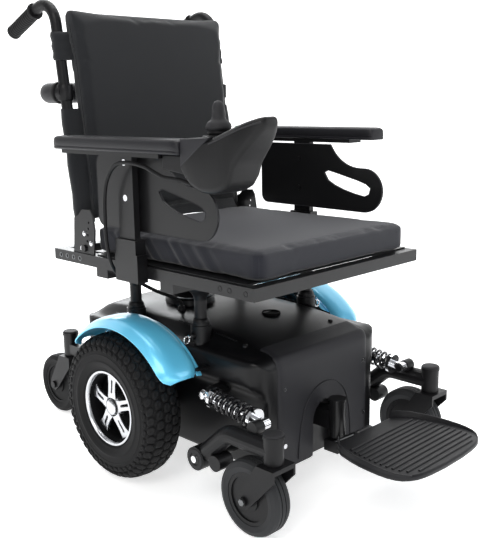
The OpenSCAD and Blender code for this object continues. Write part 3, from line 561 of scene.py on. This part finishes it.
def front_cover():
    """A panel over the body's nose: flat in front, rolled back over its top and its sides."""
    half = 145
    profile = [(-347, 70), (-348, 150), (-348, 272)] + [(-329 + 19 * math.cos(math.radians(a)),
        281 + 27 * math.sin(math.radians(a)))
                                                        for a in range(180, 88, -10)] + [(-312, 313.4),
                                                            (-296, 317.6)]
    across = [-half, -half + 0.6, -half + 2.5, -half + 6, -half + 12] + list(range(-125, 126, 25)) + [half - 12,
        half - 6, half - 2.5, half - 0.6, half]
    rings = []
    for i, (y, z) in enumerate(profile):
        row = []
        for x in across:
            e = max(0, abs(x) - (half - 12)) / 12
            drop = 7.5 * (1 - math.sqrt(max(0, 1 - e * e)))
            flat = min(1, max(0, (i - 3) / 9))
            row.append((x, y + drop * (1 - flat), z - drop * flat))
        rings.append(row)
    verts, faces = loft(rings, closed=False, caps=False)
    cover = piece("front_panel", verts, faces, COVER, "base", stands_for=("front_cover",),
        slot="cover_charcoal", angle=60)
    wall = cover.modifiers.new("wall", "SOLIDIFY")
    wall.thickness, wall.offset = 0.004, -1
    bpy.context.view_layer.update()
    made = bpy.data.meshes.new_from_object(cover.evaluated_get(bpy.context.evaluated_depsgraph_get()))
    cover.modifiers.clear()
    cover.data = made
    cut(cover, prism(ARCH, -370, -335))
    cover.data.shade_smooth()
    cover.data.set_sharp_from_angle(angle=math.radians(45))
    ridge = [(-86, -348, 78), (-84, -348.4, 110), (-78, -348.6, 150)] + \
        [(x, -348.8, z) for x, z in arc(0, 150, 75, 172, 8, 14)] + [(78, -348.6, 150), (84, -348.4, 110),
            (86, -348, 78)]
    tube("cover_ridge", ridge, 1.5, COVER, "base", sides=10, rounded=2, slot="cover_charcoal")


front_cover()


def deck_details():
    for side, s in SIDES:
        line = [(s * 151, -60, 334.5), (s * 152, -120, 332.5), (s * 151, -180, 329), (s * 149, -238, 322)]
        tube("deck_ridge_" + side, line, 1.6, SHELL, "base", sides=8, rounded=4, slot="shell_black")
        line = [(s * 166, -20, 316), (s * 168, 60, 318), (s * 166, 150, 318)]
        tube("deck_edge_" + side, line, 1.6, SHELL, "base", sides=8, rounded=4, slot="shell_black")
    # Painted shade in the deck's shallow recess.
    turned("deck_recess", [(336.5, 0), (336.5, 17), (338.6, 18.5), (338.6, 20.5), (335.5, 21.5), (330, 21.5)],
        (25, -170, 0), "Z", RECESS_SHADE, "base",
           slot="shell_black")
    turned("deck_cap", [(330, 58), (352, 58), (356, 56), (357.5, 53), (358, 47), (364, 45), (371, 40),
        (374.5, 30), (375, 0)],
           (-30, 40, 0), "Z", SHELL, "base", slot="shell_black")
    turned("deck_cap_rim", [(355, 53), (357.8, 56.5), (359.6, 56.5), (360.4, 54), (359, 51.5)], (-30, 40, 0),
        "Z", STEEL, "base", slot="bolt_steel")
    turned("lead_grommet", [(335, 0), (335, 9), (346, 8.4), (349, 6.6), (349, 0)], (-100, -10, 0), "Z", RUBBER,
        "base", slot="cable_black")
    for k, (x, y, z) in enumerate(((-150, -262, 318), (105, -275, 321))):
        turned(f"deck_bolt_{k}", [(z - 3, 0), (z - 3, 5.5), (z + 1.4, 5.2), (z + 2.4, 4), (z + 2.6, 0)],
            (x, y, 0), "Z", SATIN_BLACK, "base",
               steps=24, slot="frame_black")


deck_details()

# ---- Footplate ----

FOOT_TOP = 148
FOOT_HALF = [(88, -452), (104, -463), (118, -480), (128, -510), (134, -535), (137, -560), (138.5, -582),
    (138, -600), (134.5, -616),
             (128, -628), (117, -638), (104, -645), (88, -649.5), (70, -652), (30, -655)]


def plate_half(y):
    """Half the footplate's width at y."""
    rows = [(v, u) for u, v in FOOT_HALF]
    for (ya, xa), (yb, xb) in zip(rows, rows[1:]):
        if yb <= y <= ya:
            return xa + (xb - xa) * (y - ya) / (yb - ya)
    return 80


def footplate():
    outline = FOOT_HALF + [(-x, y) for x, y in reversed(FOOT_HALF)]
    body = "footplate_flap"
    plate("foot_board", outline, [], 12, 4.5, lambda u, v, w: (u, v, FOOT_TOP - 6 + w), PLATE, body,
          stands_for=("footplate",), slot="footplate_charcoal")
    for k in range(12):
        y = -638 + 13 * k
        x = plate_half(y) - 20 - (6 if k == 0 else 0)
        tube(f"foot_rib_{k}", [(-x, y, FOOT_TOP), (x, y, FOOT_TOP)], 2.6, PLATE, body, sides=10,
            slot="footplate_charcoal")
    rim = [(x - 2.5, y) for x, y in FOOT_HALF[:11]]
    for side, s in SIDES:
        rings = []
        for i, (x, y) in enumerate(rim):
            rise = 12.5 * (1 - i / (len(rim) - 1)) ** 0.8
            out = 1 + 0.15 * rise
            rings.append([(s * (x - 4), y, FOOT_TOP - 3), (s * (x + out - 2.5), y, FOOT_TOP + rise * 0.8),
                (s * (x + out - 1.5), y, FOOT_TOP + rise),
                          (s * (x + out + 0.8), y, FOOT_TOP + rise), (s * (x + 2), y, FOOT_TOP - 5)])
        verts, faces = loft(rings)
        piece("foot_rim_" + side, verts, faces, PLATE, body, slot="footplate_charcoal", bevel=0.8)
    tube("foot_knuckle", [(-15.5, -447, 138), (15.5, -447, 138)], 9, PLATE, body, sides=24,
        slot="footplate_charcoal")
    verts, faces = loft([[(x, -480, 134), (x, -447, 133), (x, -447, 143), (x, -480, 143)] for x in (-15, 15)])
    piece("foot_lug", verts, faces, PLATE, body, slot="footplate_charcoal", bevel=1)
    for side, s in SIDES:
        tube("foot_link_" + side, [(s * 20, -384, 104), (s * 24.8, -442, 142)], 2.6, STEEL, "footrest",
            sides=10, slot="bolt_steel")


footplate()

# ---- Padded pieces ----

CLOTH_QUALITY, CLOTH_STRETCH, CLOTH_BEND = 5, 15, 1.2
CLOTH_FRAMES, QUICK_FRAMES = 20, 12


def inflate(name, node, voxel, cap, shrink, pressure=4.0, flat_below=None):
    """A stuffed cover: the node's solid, drawn in a little and blown up as cloth, with each point's travel capped."""
    source = NODES[node]
    obj = bpy.data.objects.new(name, source.data.copy())
    bpy.context.scene.collection.objects.link(obj)
    lo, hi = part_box(node)
    middle = (lo + hi) / 2
    scale = [1 - 2 * shrink[i] / 1000 / (hi[i] - lo[i]) for i in range(3)]
    for v in obj.data.vertices:
        v.co = Vector(middle[i] + (v.co[i] - middle[i]) * scale[i] for i in range(3))
    remesh = obj.modifiers.new("remesh", "REMESH")
    remesh.mode, remesh.voxel_size, remesh.use_smooth_shade = "VOXEL", voxel / 1000, True
    apply_modifiers(obj)
    start = [v.co.copy() for v in obj.data.vertices]
    cloth = obj.modifiers.new("cloth", "CLOTH")
    cloth.settings.use_pressure = True
    cloth.settings.uniform_pressure_force = pressure
    cloth.settings.effector_weights.gravity = 0
    cloth.settings.quality = CLOTH_QUALITY
    cloth.settings.tension_stiffness = cloth.settings.compression_stiffness = CLOTH_STRETCH
    cloth.settings.bending_stiffness = CLOTH_BEND
    scene = bpy.context.scene
    for frame_number in range(1, CLOTH_FRAMES + 1):
        scene.frame_set(frame_number)
    shaped = obj.evaluated_get(bpy.context.evaluated_depsgraph_get()).to_mesh()
    ends = [v.co.copy() for v in shaped.vertices]
    scene.frame_set(1)
    obj.modifiers.clear()
    for v, a, b in zip(obj.data.vertices, start, ends):
        move = b - a
        if move.length > cap / 1000:
            move = move.normalized() * cap / 1000
        v.co = a + move
        if flat_below is not None:
            v.co.z = max(v.co.z, flat_below)
    subdivide = obj.modifiers.new("smooth", "SUBSURF")
    subdivide.levels = subdivide.render_levels = 1
    apply_modifiers(obj)
    return obj


def apply_modifiers(obj):
    bpy.context.view_layer.update()
    made = bpy.data.meshes.new_from_object(obj.evaluated_get(bpy.context.evaluated_depsgraph_get()))
    obj.modifiers.clear()
    obj.data = made


def surface_of(obj):
    return BVHTree.FromPolygons([v.co for v in obj.data.vertices],
        [tuple(f.vertices) for f in obj.data.polygons])


def seam(name, obj, line, radius, mat, body, slot, closed=False, lift=0.2):
    """A corded seam that lies on a padded piece along a rough line."""
    tree = surface_of(obj)
    route = []
    for p in (line + [line[0]] if closed else line):
        place, normal, _, _ = tree.find_nearest(at(*p))
        route.append(tuple(local(place + normal * lift / 1000)))
    tube(name, route, radius, mat, body, sides=8, rounded=2, slot=slot)


cushion_lo, cushion_hi = node_span("seat_cushion")
CUSHION_TOP = cushion_hi.z


def seat_cushion():
    obj = inflate("seat_pad", "seat_cushion", 6, 7, (2, 2, 5), pressure=3.0,
        flat_below=(cushion_lo.z + 0.2) / 1000)
    folds = [(-300, -214), (-210, -150), (-120, -60), (-30, 30)]
    for v in obj.data.vertices:
        p = local(v.co)
        for y0, y1 in folds:
            if p.x < -218:
                a = (p.y - y0 - (p.z - cushion_lo.z) * 0.9) / (y1 - y0)
                if 0 < a < 1:
                    v.co.x += 0.0022 * math.sin(math.pi * a) * math.sin(3 * math.pi * a)
    finish_piece(obj, CLOTH, "seat", stands_for=("seat_cushion",), slot="cushion_fabric", angle=80)
    for side, s in SIDES:
        seam("cushion_seam_" + side, obj,
            [(s * (cushion_hi.x - 6), cushion_lo.y - AXLE_Y + 6, h) for h in range(int(cushion_lo.z) + 8,
            int(CUSHION_TOP) - 6, 8)], 0.7, CLOTH, "seat", "cushion_fabric", lift=-0.2)


POST_FOOT_Y, POST_FOOT_Z, BACK_LEAN = 158.5, 493, 7.7


def cane_y(z):
    """Where a back post's middle lies at height z."""
    return POST_FOOT_Y + (z - POST_FOOT_Z) * math.tan(math.radians(BACK_LEAN))


def back():
    obj = inflate("back_pad", "back_upholstery", 6.5, 9, (-7, 7, -1), pressure=2.0)
    finish_piece(obj, BACK_CLOTH, "back", stands_for=("back_upholstery",), slot="cushion_fabric", angle=80)
    for side, s in SIDES:
        edge = [(s * 214, cane_y(z) - 28, z) for z in range(570, 981, 20)]
        seam("back_seam_" + side, obj, edge, 1.1, BACK_CLOTH, "back", "cushion_fabric")
        for k, (z0, z1) in enumerate(((540, 790), (895, 955))):
            zs = [z0 + (z1 - z0) * i / 8 for i in range(9)]
            rings = []
            for i, z in enumerate(zs):
                y = cane_y(z)
                swell = 1.2 * math.sin(i * 2.1)
                rings.append([(s * (235 + (16 + swell) * math.cos(math.radians(a)))
                                if math.cos(math.radians(a)) > -0.2 else s * 214,
                               y + (16 + swell) * math.sin(math.radians(a))
                               - (6 if math.cos(math.radians(a)) < -0.2 else 0), z)
                              for a in range(0, 360, 20)])
            verts, faces = loft(rings)
            piece(f"post_sleeve_{k}_{side}", verts, faces, BACK_CLOTH, "back", slot="cushion_fabric", angle=70)
    rings = []
    for i in range(7):
        t = i / 6
        y, z = 134 - 12 * t, 556 - 24 * t
        rings.append([(x, y + 2.5 * math.sin(x / 37.0) * t - w, z + 2 * math.sin(x / 23.0) * t) for w in (0, 3)
                      for x in (range(-206, 207, 12) if w == 0 else range(206, -207, -12))])
    verts, faces = loft(rings)
    skirt = piece("back_skirt", verts, faces, BACK_CLOTH, None, slot="cushion_fabric", angle=80)
    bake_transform(skirt)


def back_bar():
    """The padded bar behind the back: a cross tube with rounded corners, clamped to the posts."""
    z, y, r = 825, 280, 23.2
    for side, s in SIDES:
        turned("bar_clamp_" + side, [(199, 12), (199, 19), (208, 20.5), (222, 20.5), (226, 18), (226, 10)],
            (s * 235, 0, z), "Y", SATIN_BLACK, "back",
               slot="frame_black")
        turned("post_clamp_" + side, [(-17, 12.6), (-17, 16.6), (-15, 17.8), (15, 17.8), (17, 16.6),
            (17, 12.6)], (s * 235, cane_y(z), z), "Z", SATIN_BLACK, "back",
               slot="frame_black")
    points = [(-235, 222, z), (-235, 250, z), (-232, 268, z), (-222, 278, z), (-205, y, z), (-100, y, z),
        (0, y, z), (100, y, z), (205, y, z),
              (222, 278, z), (232, 268, z), (235, 250, z), (235, 222, z)]
    tube("rear_bar_pad", points, r, VINYL, "back", sides=28, rounded=3, stands_for=("back_bar",),
        slot="pad_vinyl", angle=60)
    for side, s in SIDES:
        turned("bar_cuff_" + side, [(218, 0), (218, 22), (220, 24.3), (226, 24.6), (229, 23.4), (229, 0)],
            (s * 235, 0, z), "Y", RUBBER, "back", slot="grip_rubber")
    tube("rear_bar_seam", [(-214, y + r, z), (0, y + r + 0.3, z), (214, y + r, z)], 0.9, VINYL, "back", sides=6,
        slot="pad_vinyl")


def grips():
    lo, hi = node_span("push_grips")
    droop = math.radians(22)
    lo_y, hi_y = lo.y - AXLE_Y, hi.y - AXLE_Y
    length = (hi_y - lo_y - 2 * 16 * math.sin(droop)) / math.cos(droop)
    top = Vector((0, lo_y + 7, hi.z - 18.5))
    way = Vector((0, math.cos(droop), -math.sin(droop)))
    for side, s in SIDES:
        points, radii = [], []
        for i in range(61):
            t = i / 60
            p = top + way * (length - 1) * t
            points.append((s * 235, p.y, p.z))
            radii.append(18.8 if t < 0.045 else 14.6 if t > 0.985
                         else 15.2 + (1.2 if (i % 4) < 2 else 0) if t < 0.93 else 16.8)
        tube("push_grip_" + side, points, radii, RUBBER, "back", sides=24,
            stands_for=("push_grips",) if s < 0 else (), slot="grip_rubber", angle=60)


def arm_pads():
    for side, s in SIDES:
        lo, hi = node_span("arm_pad_" + side)
        y0, y1, xm, half = lo.y - AXLE_Y, hi.y - AXLE_Y, (lo.x + hi.x) / 2, (hi.x - lo.x) / 2
        rings = []
        section = [(-0.90, 0.0), (-1.0, 0.10), (-1.0, 0.20), (-0.965, 0.24), (-1.0, 0.28), (-1.0, 0.62),
            (-0.97, 0.80), (-0.88, 0.93), (-0.70, 0.985), (-0.35, 1.0), (0, 1.0)]
        section += [(-u, h) for u, h in reversed(section[:-1])]
        steps = 40
        for i in range(steps + 1):
            t = i / steps
            y = y0 + (y1 - y0) * (0.5 - 0.5 * math.cos(math.pi * t))
            d = min(y - y0, y1 - y) / 26
            pinch = math.sqrt(max(0, 1 - (1 - min(1, d)) ** 2.6))
            rings.append([(xm + half * u * (0.72 + 0.28 * pinch), y,
                lo.z + (hi.z - lo.z) * h * (0.80 + 0.20 * pinch)) for u, h in section])
        verts, faces = loft(rings)
        obj = piece("arm_rest_pad_" + side, verts, faces, VINYL, "armrest_" + side,
            stands_for=("arm_pad_" + side,), slot="pad_vinyl", angle=55)
        for z in (661, 590):
            turned(f"guard_screw_{int(z)}_{side}", [(0, 0), (0, 5), (1.6, 4.2), (2.2, 0)], (s * 252, -55, z),
                "X", STEEL, "armrest_" + side, steps=20, slot="bolt_steel")
            turned(f"post_screw_{int(z)}_{side}", [(-1.0, 0), (-1.0, 6.5), (2.2, 6), (4, 4.6), (4.4, 0)],
                (s * 277 , -55, z + 24), "X", CHROME, "armrest_" + side,
                   steps=20, slot="chrome")


def guard_highlights():
    """A painted highlight: a light cord round each side guard and its slot, where the edge catches light."""
    outer = arc(50, 676, 20, 90, 0, 6) + arc(50, 566, 20, 0, -90, 6) + arc(-252, 594, 50, -90, -270,
        18) + arc(-238, 740, 96, -90, -27.3, 10)
    inner = [(-134, 630), (-146, 612), (-165, 602), (-190, 593), (-222, 585), (-252, 580), (-266, 586),
        (-270, 600), (-258, 609),
             (-235, 616), (-205, 623), (-170, 631), (-146, 636)]
    for side, s in SIDES:
        for name, ring in (("outer", outer), ("slot", inner)):
            for face, x in (("out", 256), ("in", 252)):
                tube(f"guard_edge_{name}_{face}_{side}", [(s * x, y, z) for y, z in ring + ring[:1]], 0.75,
                    WEDGE, "armrest_" + side, sides=6, slot="frame_black")


# ---- Controller ----

def pod():
    """The controller: a wedge-shaped body with an upturned nose, and a lighter deck piece that meets the arm pad."""
    body = "armrest_right"
    lo, hi = node_span("pod_housing")
    x0, x1, nose = lo.x, hi.x, lo.y - AXLE_Y
    # The side view, back to front, as (y, low, high)
    side_view = [(-257, 676, 736), (-264, 665, 736.4), (-280, 651, 737), (-304, 642, 738), (-331, 641, 739.5),
        (-350, 645, 745.5), (-366, 653, 751.5),
                 (-377, 668, 755.5), (-384, 688, 758), (-396, 704, 762.5), (-408, 718, 767), (-420, 731, 771),
                 (-431, 743, 774.5), (-439, 753, 776),
                 (nose + 2, 762, 774.5)]
    rings = []
    for y, low, high in side_view:
        ahead = max(0, (-y - 378) / (-nose - 376))
        half = (x1 - x0) / 2 * math.sqrt(max(0.02, 1 - ahead ** 2.3))
        middle, r = (x0 + x1) / 2, min(12, (high - low) * 0.45)
        ring = []
        for cx, cz, a0 in ((middle + half - r, high - r, 0), (middle - half + r, high - r, 90),
            (middle - half + r, low + r, 180),
                           (middle + half - r, low + r, 270)):
            ring += [(cx + r * math.cos(math.radians(a0 + a)), y,
                cz + r * math.sin(math.radians(a0 + a))) for a in (0, 22, 45, 68, 90)]
        rings.append(ring)
    verts, faces = loft(rings)
    piece("pod_case", verts, faces, POD, body, stands_for=("pod_housing",), slot="pod_plastic", angle=55)
    deck = [(-255.5, 686), (-255.5, 737.2), (-300, 739.2), (-334, 741.2)]
    plate("pod_deck_piece", deck, [], 81.6, 2.5, side_plane(-262), WEDGE, body, slot="cover_charcoal")
    stick_x, stick_y, top = -262, -316, 739.5
    turned("stick_socket", [(top - 9, 20.5), (top - 9, 29), (top, 30), (top + 2.6, 28.6), (top + 3.2, 26),
        (top + 1, 24), (top - 6, 23)],
           (stick_x, stick_y, 0), "Z", POD, body, slot="pod_plastic")
    # Painted shade: a dark disc at the bottom of the stick's socket.
    turned("stick_well", [(top - 8, 0), (top - 8, 24)], (stick_x, stick_y, 0), "Z", RECESS_SHADE, body,
        slot="pod_plastic")
    for name, y0, y1, z0, z1 in (("pad_bracket", -262, -202, 673, 707),):
        verts, faces = loft([[(x, y0, z0), (x, y1, z0 + 8), (x, y1, z1), (x, y0, z1)] for x in (-300, -263)])
        piece(name, verts, faces, SATIN_BLACK, body, slot="frame_black", bevel=2)
    # Painted highlight: a lighter cord along the case's upper outer edge, where it catches the light.
    highlight_cord = [(sum(p[0] for p in r[8:10]) / 2 , r[8][1], (r[8][2] + r[9][2]) / 2) for r in rings[4:-1]]
    tube("pod_edge_highlight", highlight_cord, 1.6, KNOB, body, sides=8, rounded=2, slot="pod_plastic")
    turned("stick_bellows", [(732, 17), (735, 20), (738, 18), (741, 20.5), (744, 18.5), (747, 21), (750, 19),
        (754, 20.5), (756, 18), (756, 0)],
           (stick_x, stick_y, 0), "Z", RUBBER, "stick", slot="grip_rubber")
    turned("stick_knob", [(752.6, 0), (752.6, 20), (754, 22.5), (757.5, 23.4), (762, 22.4), (766, 19.5),
        (769, 15.5), (771.5, 12.6), (775, 11.4), (781, 10.9),
                          (788, 10.9), (794, 10.4), (798.5, 8.6), (801.5, 5.6), (803, 2.6), (803.3, 0)],
                          (stick_x, stick_y, 0), "Z", KNOB, "stick",
           stands_for=("joystick",), slot="cover_charcoal", angle=60)


# ---- Controller lead ----

UPPER_LEAD = [(-288, -268, 655), (-291, -250, 660), (-294, -225, 663), (-297, -202, 665), (-299, -180, 672),
    (-300, -150, 682), (-301, -100, 688),
              (-301, -60, 682), (-300, -30, 655), (-298, -14, 618), (-296, -8, 560), (-293, -6, 516),
              (-285, -4, 480), (-272, 0, 457), (-261, 3, 446),
              (-250, 6, 440)]
LOWER_LEAD = [(-250, 6, 440), (-238, 9, 434), (-222, 13, 428), (-200, 15, 418), (-175, 13, 402), (-150, 6, 387),
    (-128, -1, 376), (-110, -7, 366),
              (-102, -10, 358), (-100, -10, 349)]


def leads():
    upper = tube("lead_upper", UPPER_LEAD, 4, RUBBER, None, rounded=6, stands_for=("control_cable_upper",),
        slot="cable_black", angle=80)
    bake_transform(upper)
    lower = tube("lead_lower", LOWER_LEAD, 4, RUBBER, None, rounded=6, stands_for=("control_cable_lower",),
        slot="cable_black", angle=80)
    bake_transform(lower)


# ---- Hardware details ----

def hardware():
    for side, s in SIDES:
        link, caster = "front_link_" + side, "front_caster_" + side
        turned("head_cap_" + side, [(211, 0), (211, 19.5), (213, 19.6), (215, 18), (216, 14), (216.3, 0)],
            (s * 258, -438, 0), "Z", KNOB, link, slot="frame_black")
        turned("rear_head_cap_" + side, [(224, 0), (224, 18.5), (226, 18.6), (228, 17), (228.6, 0)],
            (s * 150, 375, 0), "Z", KNOB, "base", slot="frame_black")
        turned("pivot_ring_" + side, [(s * 278.2, 13), (s * 279.8, 13.6), (s * 279.8, 20), (s * 278.2, 21)],
            (0, -245, 111), "X", KNOB, link, slot="frame_black")
        for x, y, z, who, name in ((293.5, -389, 75, caster, "front"), ):
            turned(f"axle_nut_{name}_{side}",
                [(s * (x - 1.5), 0), (s * (x - 1.5), 7.5), (s * (x + 2), 7.2), (s * (x + 3), 5),
                (s * (x + 3.2), 0)], (0, y, z), "X",
                   STEEL, who, steps=6, slot="bolt_steel")
        for y in (150, 175, 200, 225, -330, -305, -372):
            turned(f"rail_hole_rim_{int(y)}_{side}".replace("-", "m"),
                [(s * 257.3, 3.4), (s * 258.2, 4.2), (s * 258.2, 5.4), (s * 257.3, 6)], (0, y, 461.5), "X",
                STEEL if y > 0 else SATIN_BLACK,
                   "seat", steps=24, slot="bolt_steel")
        for y, z in ((128, 520), (140, 486), (104, 500)):
            turned(f"bracket_bolt_{y}_{side}",
                [(s * 254, 0), (s * 254, 6), (s * 257.6, 5.6), (s * 258.6, 4), (s * 258.8, 0)], (0, y, z), "X",
                CHROME, "seat", steps=20, slot="chrome")
        for y in (-150, 68):
            turned(f"column_collar_{int(y) + 200}_{side}",
                [(352, 13.2), (352, 17.5), (356, 17.2), (360, 15), (361, 13.2)], (s * 168, y, 0), "Z",
                SATIN_BLACK, "base", slot="frame_black")
            turned(f"column_flare_{int(y) + 200}_{side}",
                [(398, 13), (406, 14.5), (414, 19), (420, 25.5), (425, 30), (429, 30.4), (429.3, 13)],
                (s * 168, y, 0), "Z",
                   SATIN_BLACK, "seat", slot="frame_black")
        turned("socket_screw_" + side, [(s * 188, 0), (s * 188, 4), (s * 192, 3.6), (s * 192.6, 0)],
            (0, 68, 335), "X", CHROME, "base", steps=16, slot="chrome")


seat_cushion()
back()
back_bar()
grips()
arm_pads()
guard_highlights()
pod()
leads()
hardware()

# ---- Studio ----

WALL_DISTANCE = 16
WORLD_STRENGTH, FLOOR_GLOW, WALL_GLOW = 0.34, 0.62, 0.95


def studio():
    world = bpy.data.worlds.new("studio")
    bpy.context.scene.world = world
    world.use_nodes = True
    world.node_tree.nodes["Background"].inputs["Color"].default_value = (0.97, 0.98, 1.0, 1)
    world.node_tree.nodes["Background"].inputs["Strength"].default_value = WORLD_STRENGTH
    bpy.ops.mesh.primitive_plane_add(size=60, location=(0, 0, -0.0005))
    floor = bpy.context.object
    floor.name = "floor"
    pale = material("floor_paint", (0.93, 0.935, 0.94), 0.8, bump=0.0, mottle=0.005)
    floor.data.materials.append(pale)
    bpy.ops.mesh.primitive_plane_add(size=80)
    wall = bpy.context.object
    wall.name = "back_wall"
    camera = bpy.context.scene.camera.location
    away = Vector((-camera.x, -camera.y, 0)).normalized()
    wall.location = away * WALL_DISTANCE
    wall.rotation_mode = "QUATERNION"
    wall.rotation_quaternion = (-away).to_track_quat("Z", "Y")
    wall.data.materials.append(material("wall_paint", (0.9, 0.9, 0.9), 0.8, bump=0.0, mottle=0.005))
    for stage, glow in ((floor, FLOOR_GLOW), (wall, WALL_GLOW)):
        shader = next(n for n in stage.data.materials[0].node_tree.nodes if n.type == "BSDF_PRINCIPLED")
        shader.inputs["Emission Color"].default_value = (1, 1, 1, 1)
        shader.inputs["Emission Strength"].default_value = glow
    for name, place, size, power, colour in (
            ("key", (-3.2, -1.6, 3.4), 2.2, 75, (1, 0.98, 0.95)),
                ("fill", (2.4, -3.6, 2.2), 2.4, 34, (0.95, 0.97, 1)),
            ("top", (0.2, 0.4, 3.6), 2.2, 60, (1, 1, 1)), ("rim", (1.6, 3.2, 2.2), 1.6, 60, (0.95, 0.98, 1)),
            ("low", (-2.6, -2.8, 0.7), 1.4, 14, (1, 1, 1))):
        data = bpy.data.lights.new(name, "AREA")
        data.shape, data.size, data.energy, data.color = "SQUARE", size, power, colour
        lamp = bpy.data.objects.new(name, data)
        bpy.context.scene.collection.objects.link(lamp)
        lamp.location = place
        lamp.rotation_mode = "QUATERNION"
        lamp.rotation_quaternion = (Vector((0, 0, 0.45)) - Vector(place)).to_track_quat("-Z", "Y")


studio()
bpy.context.scene.view_settings.view_transform = "Standard"
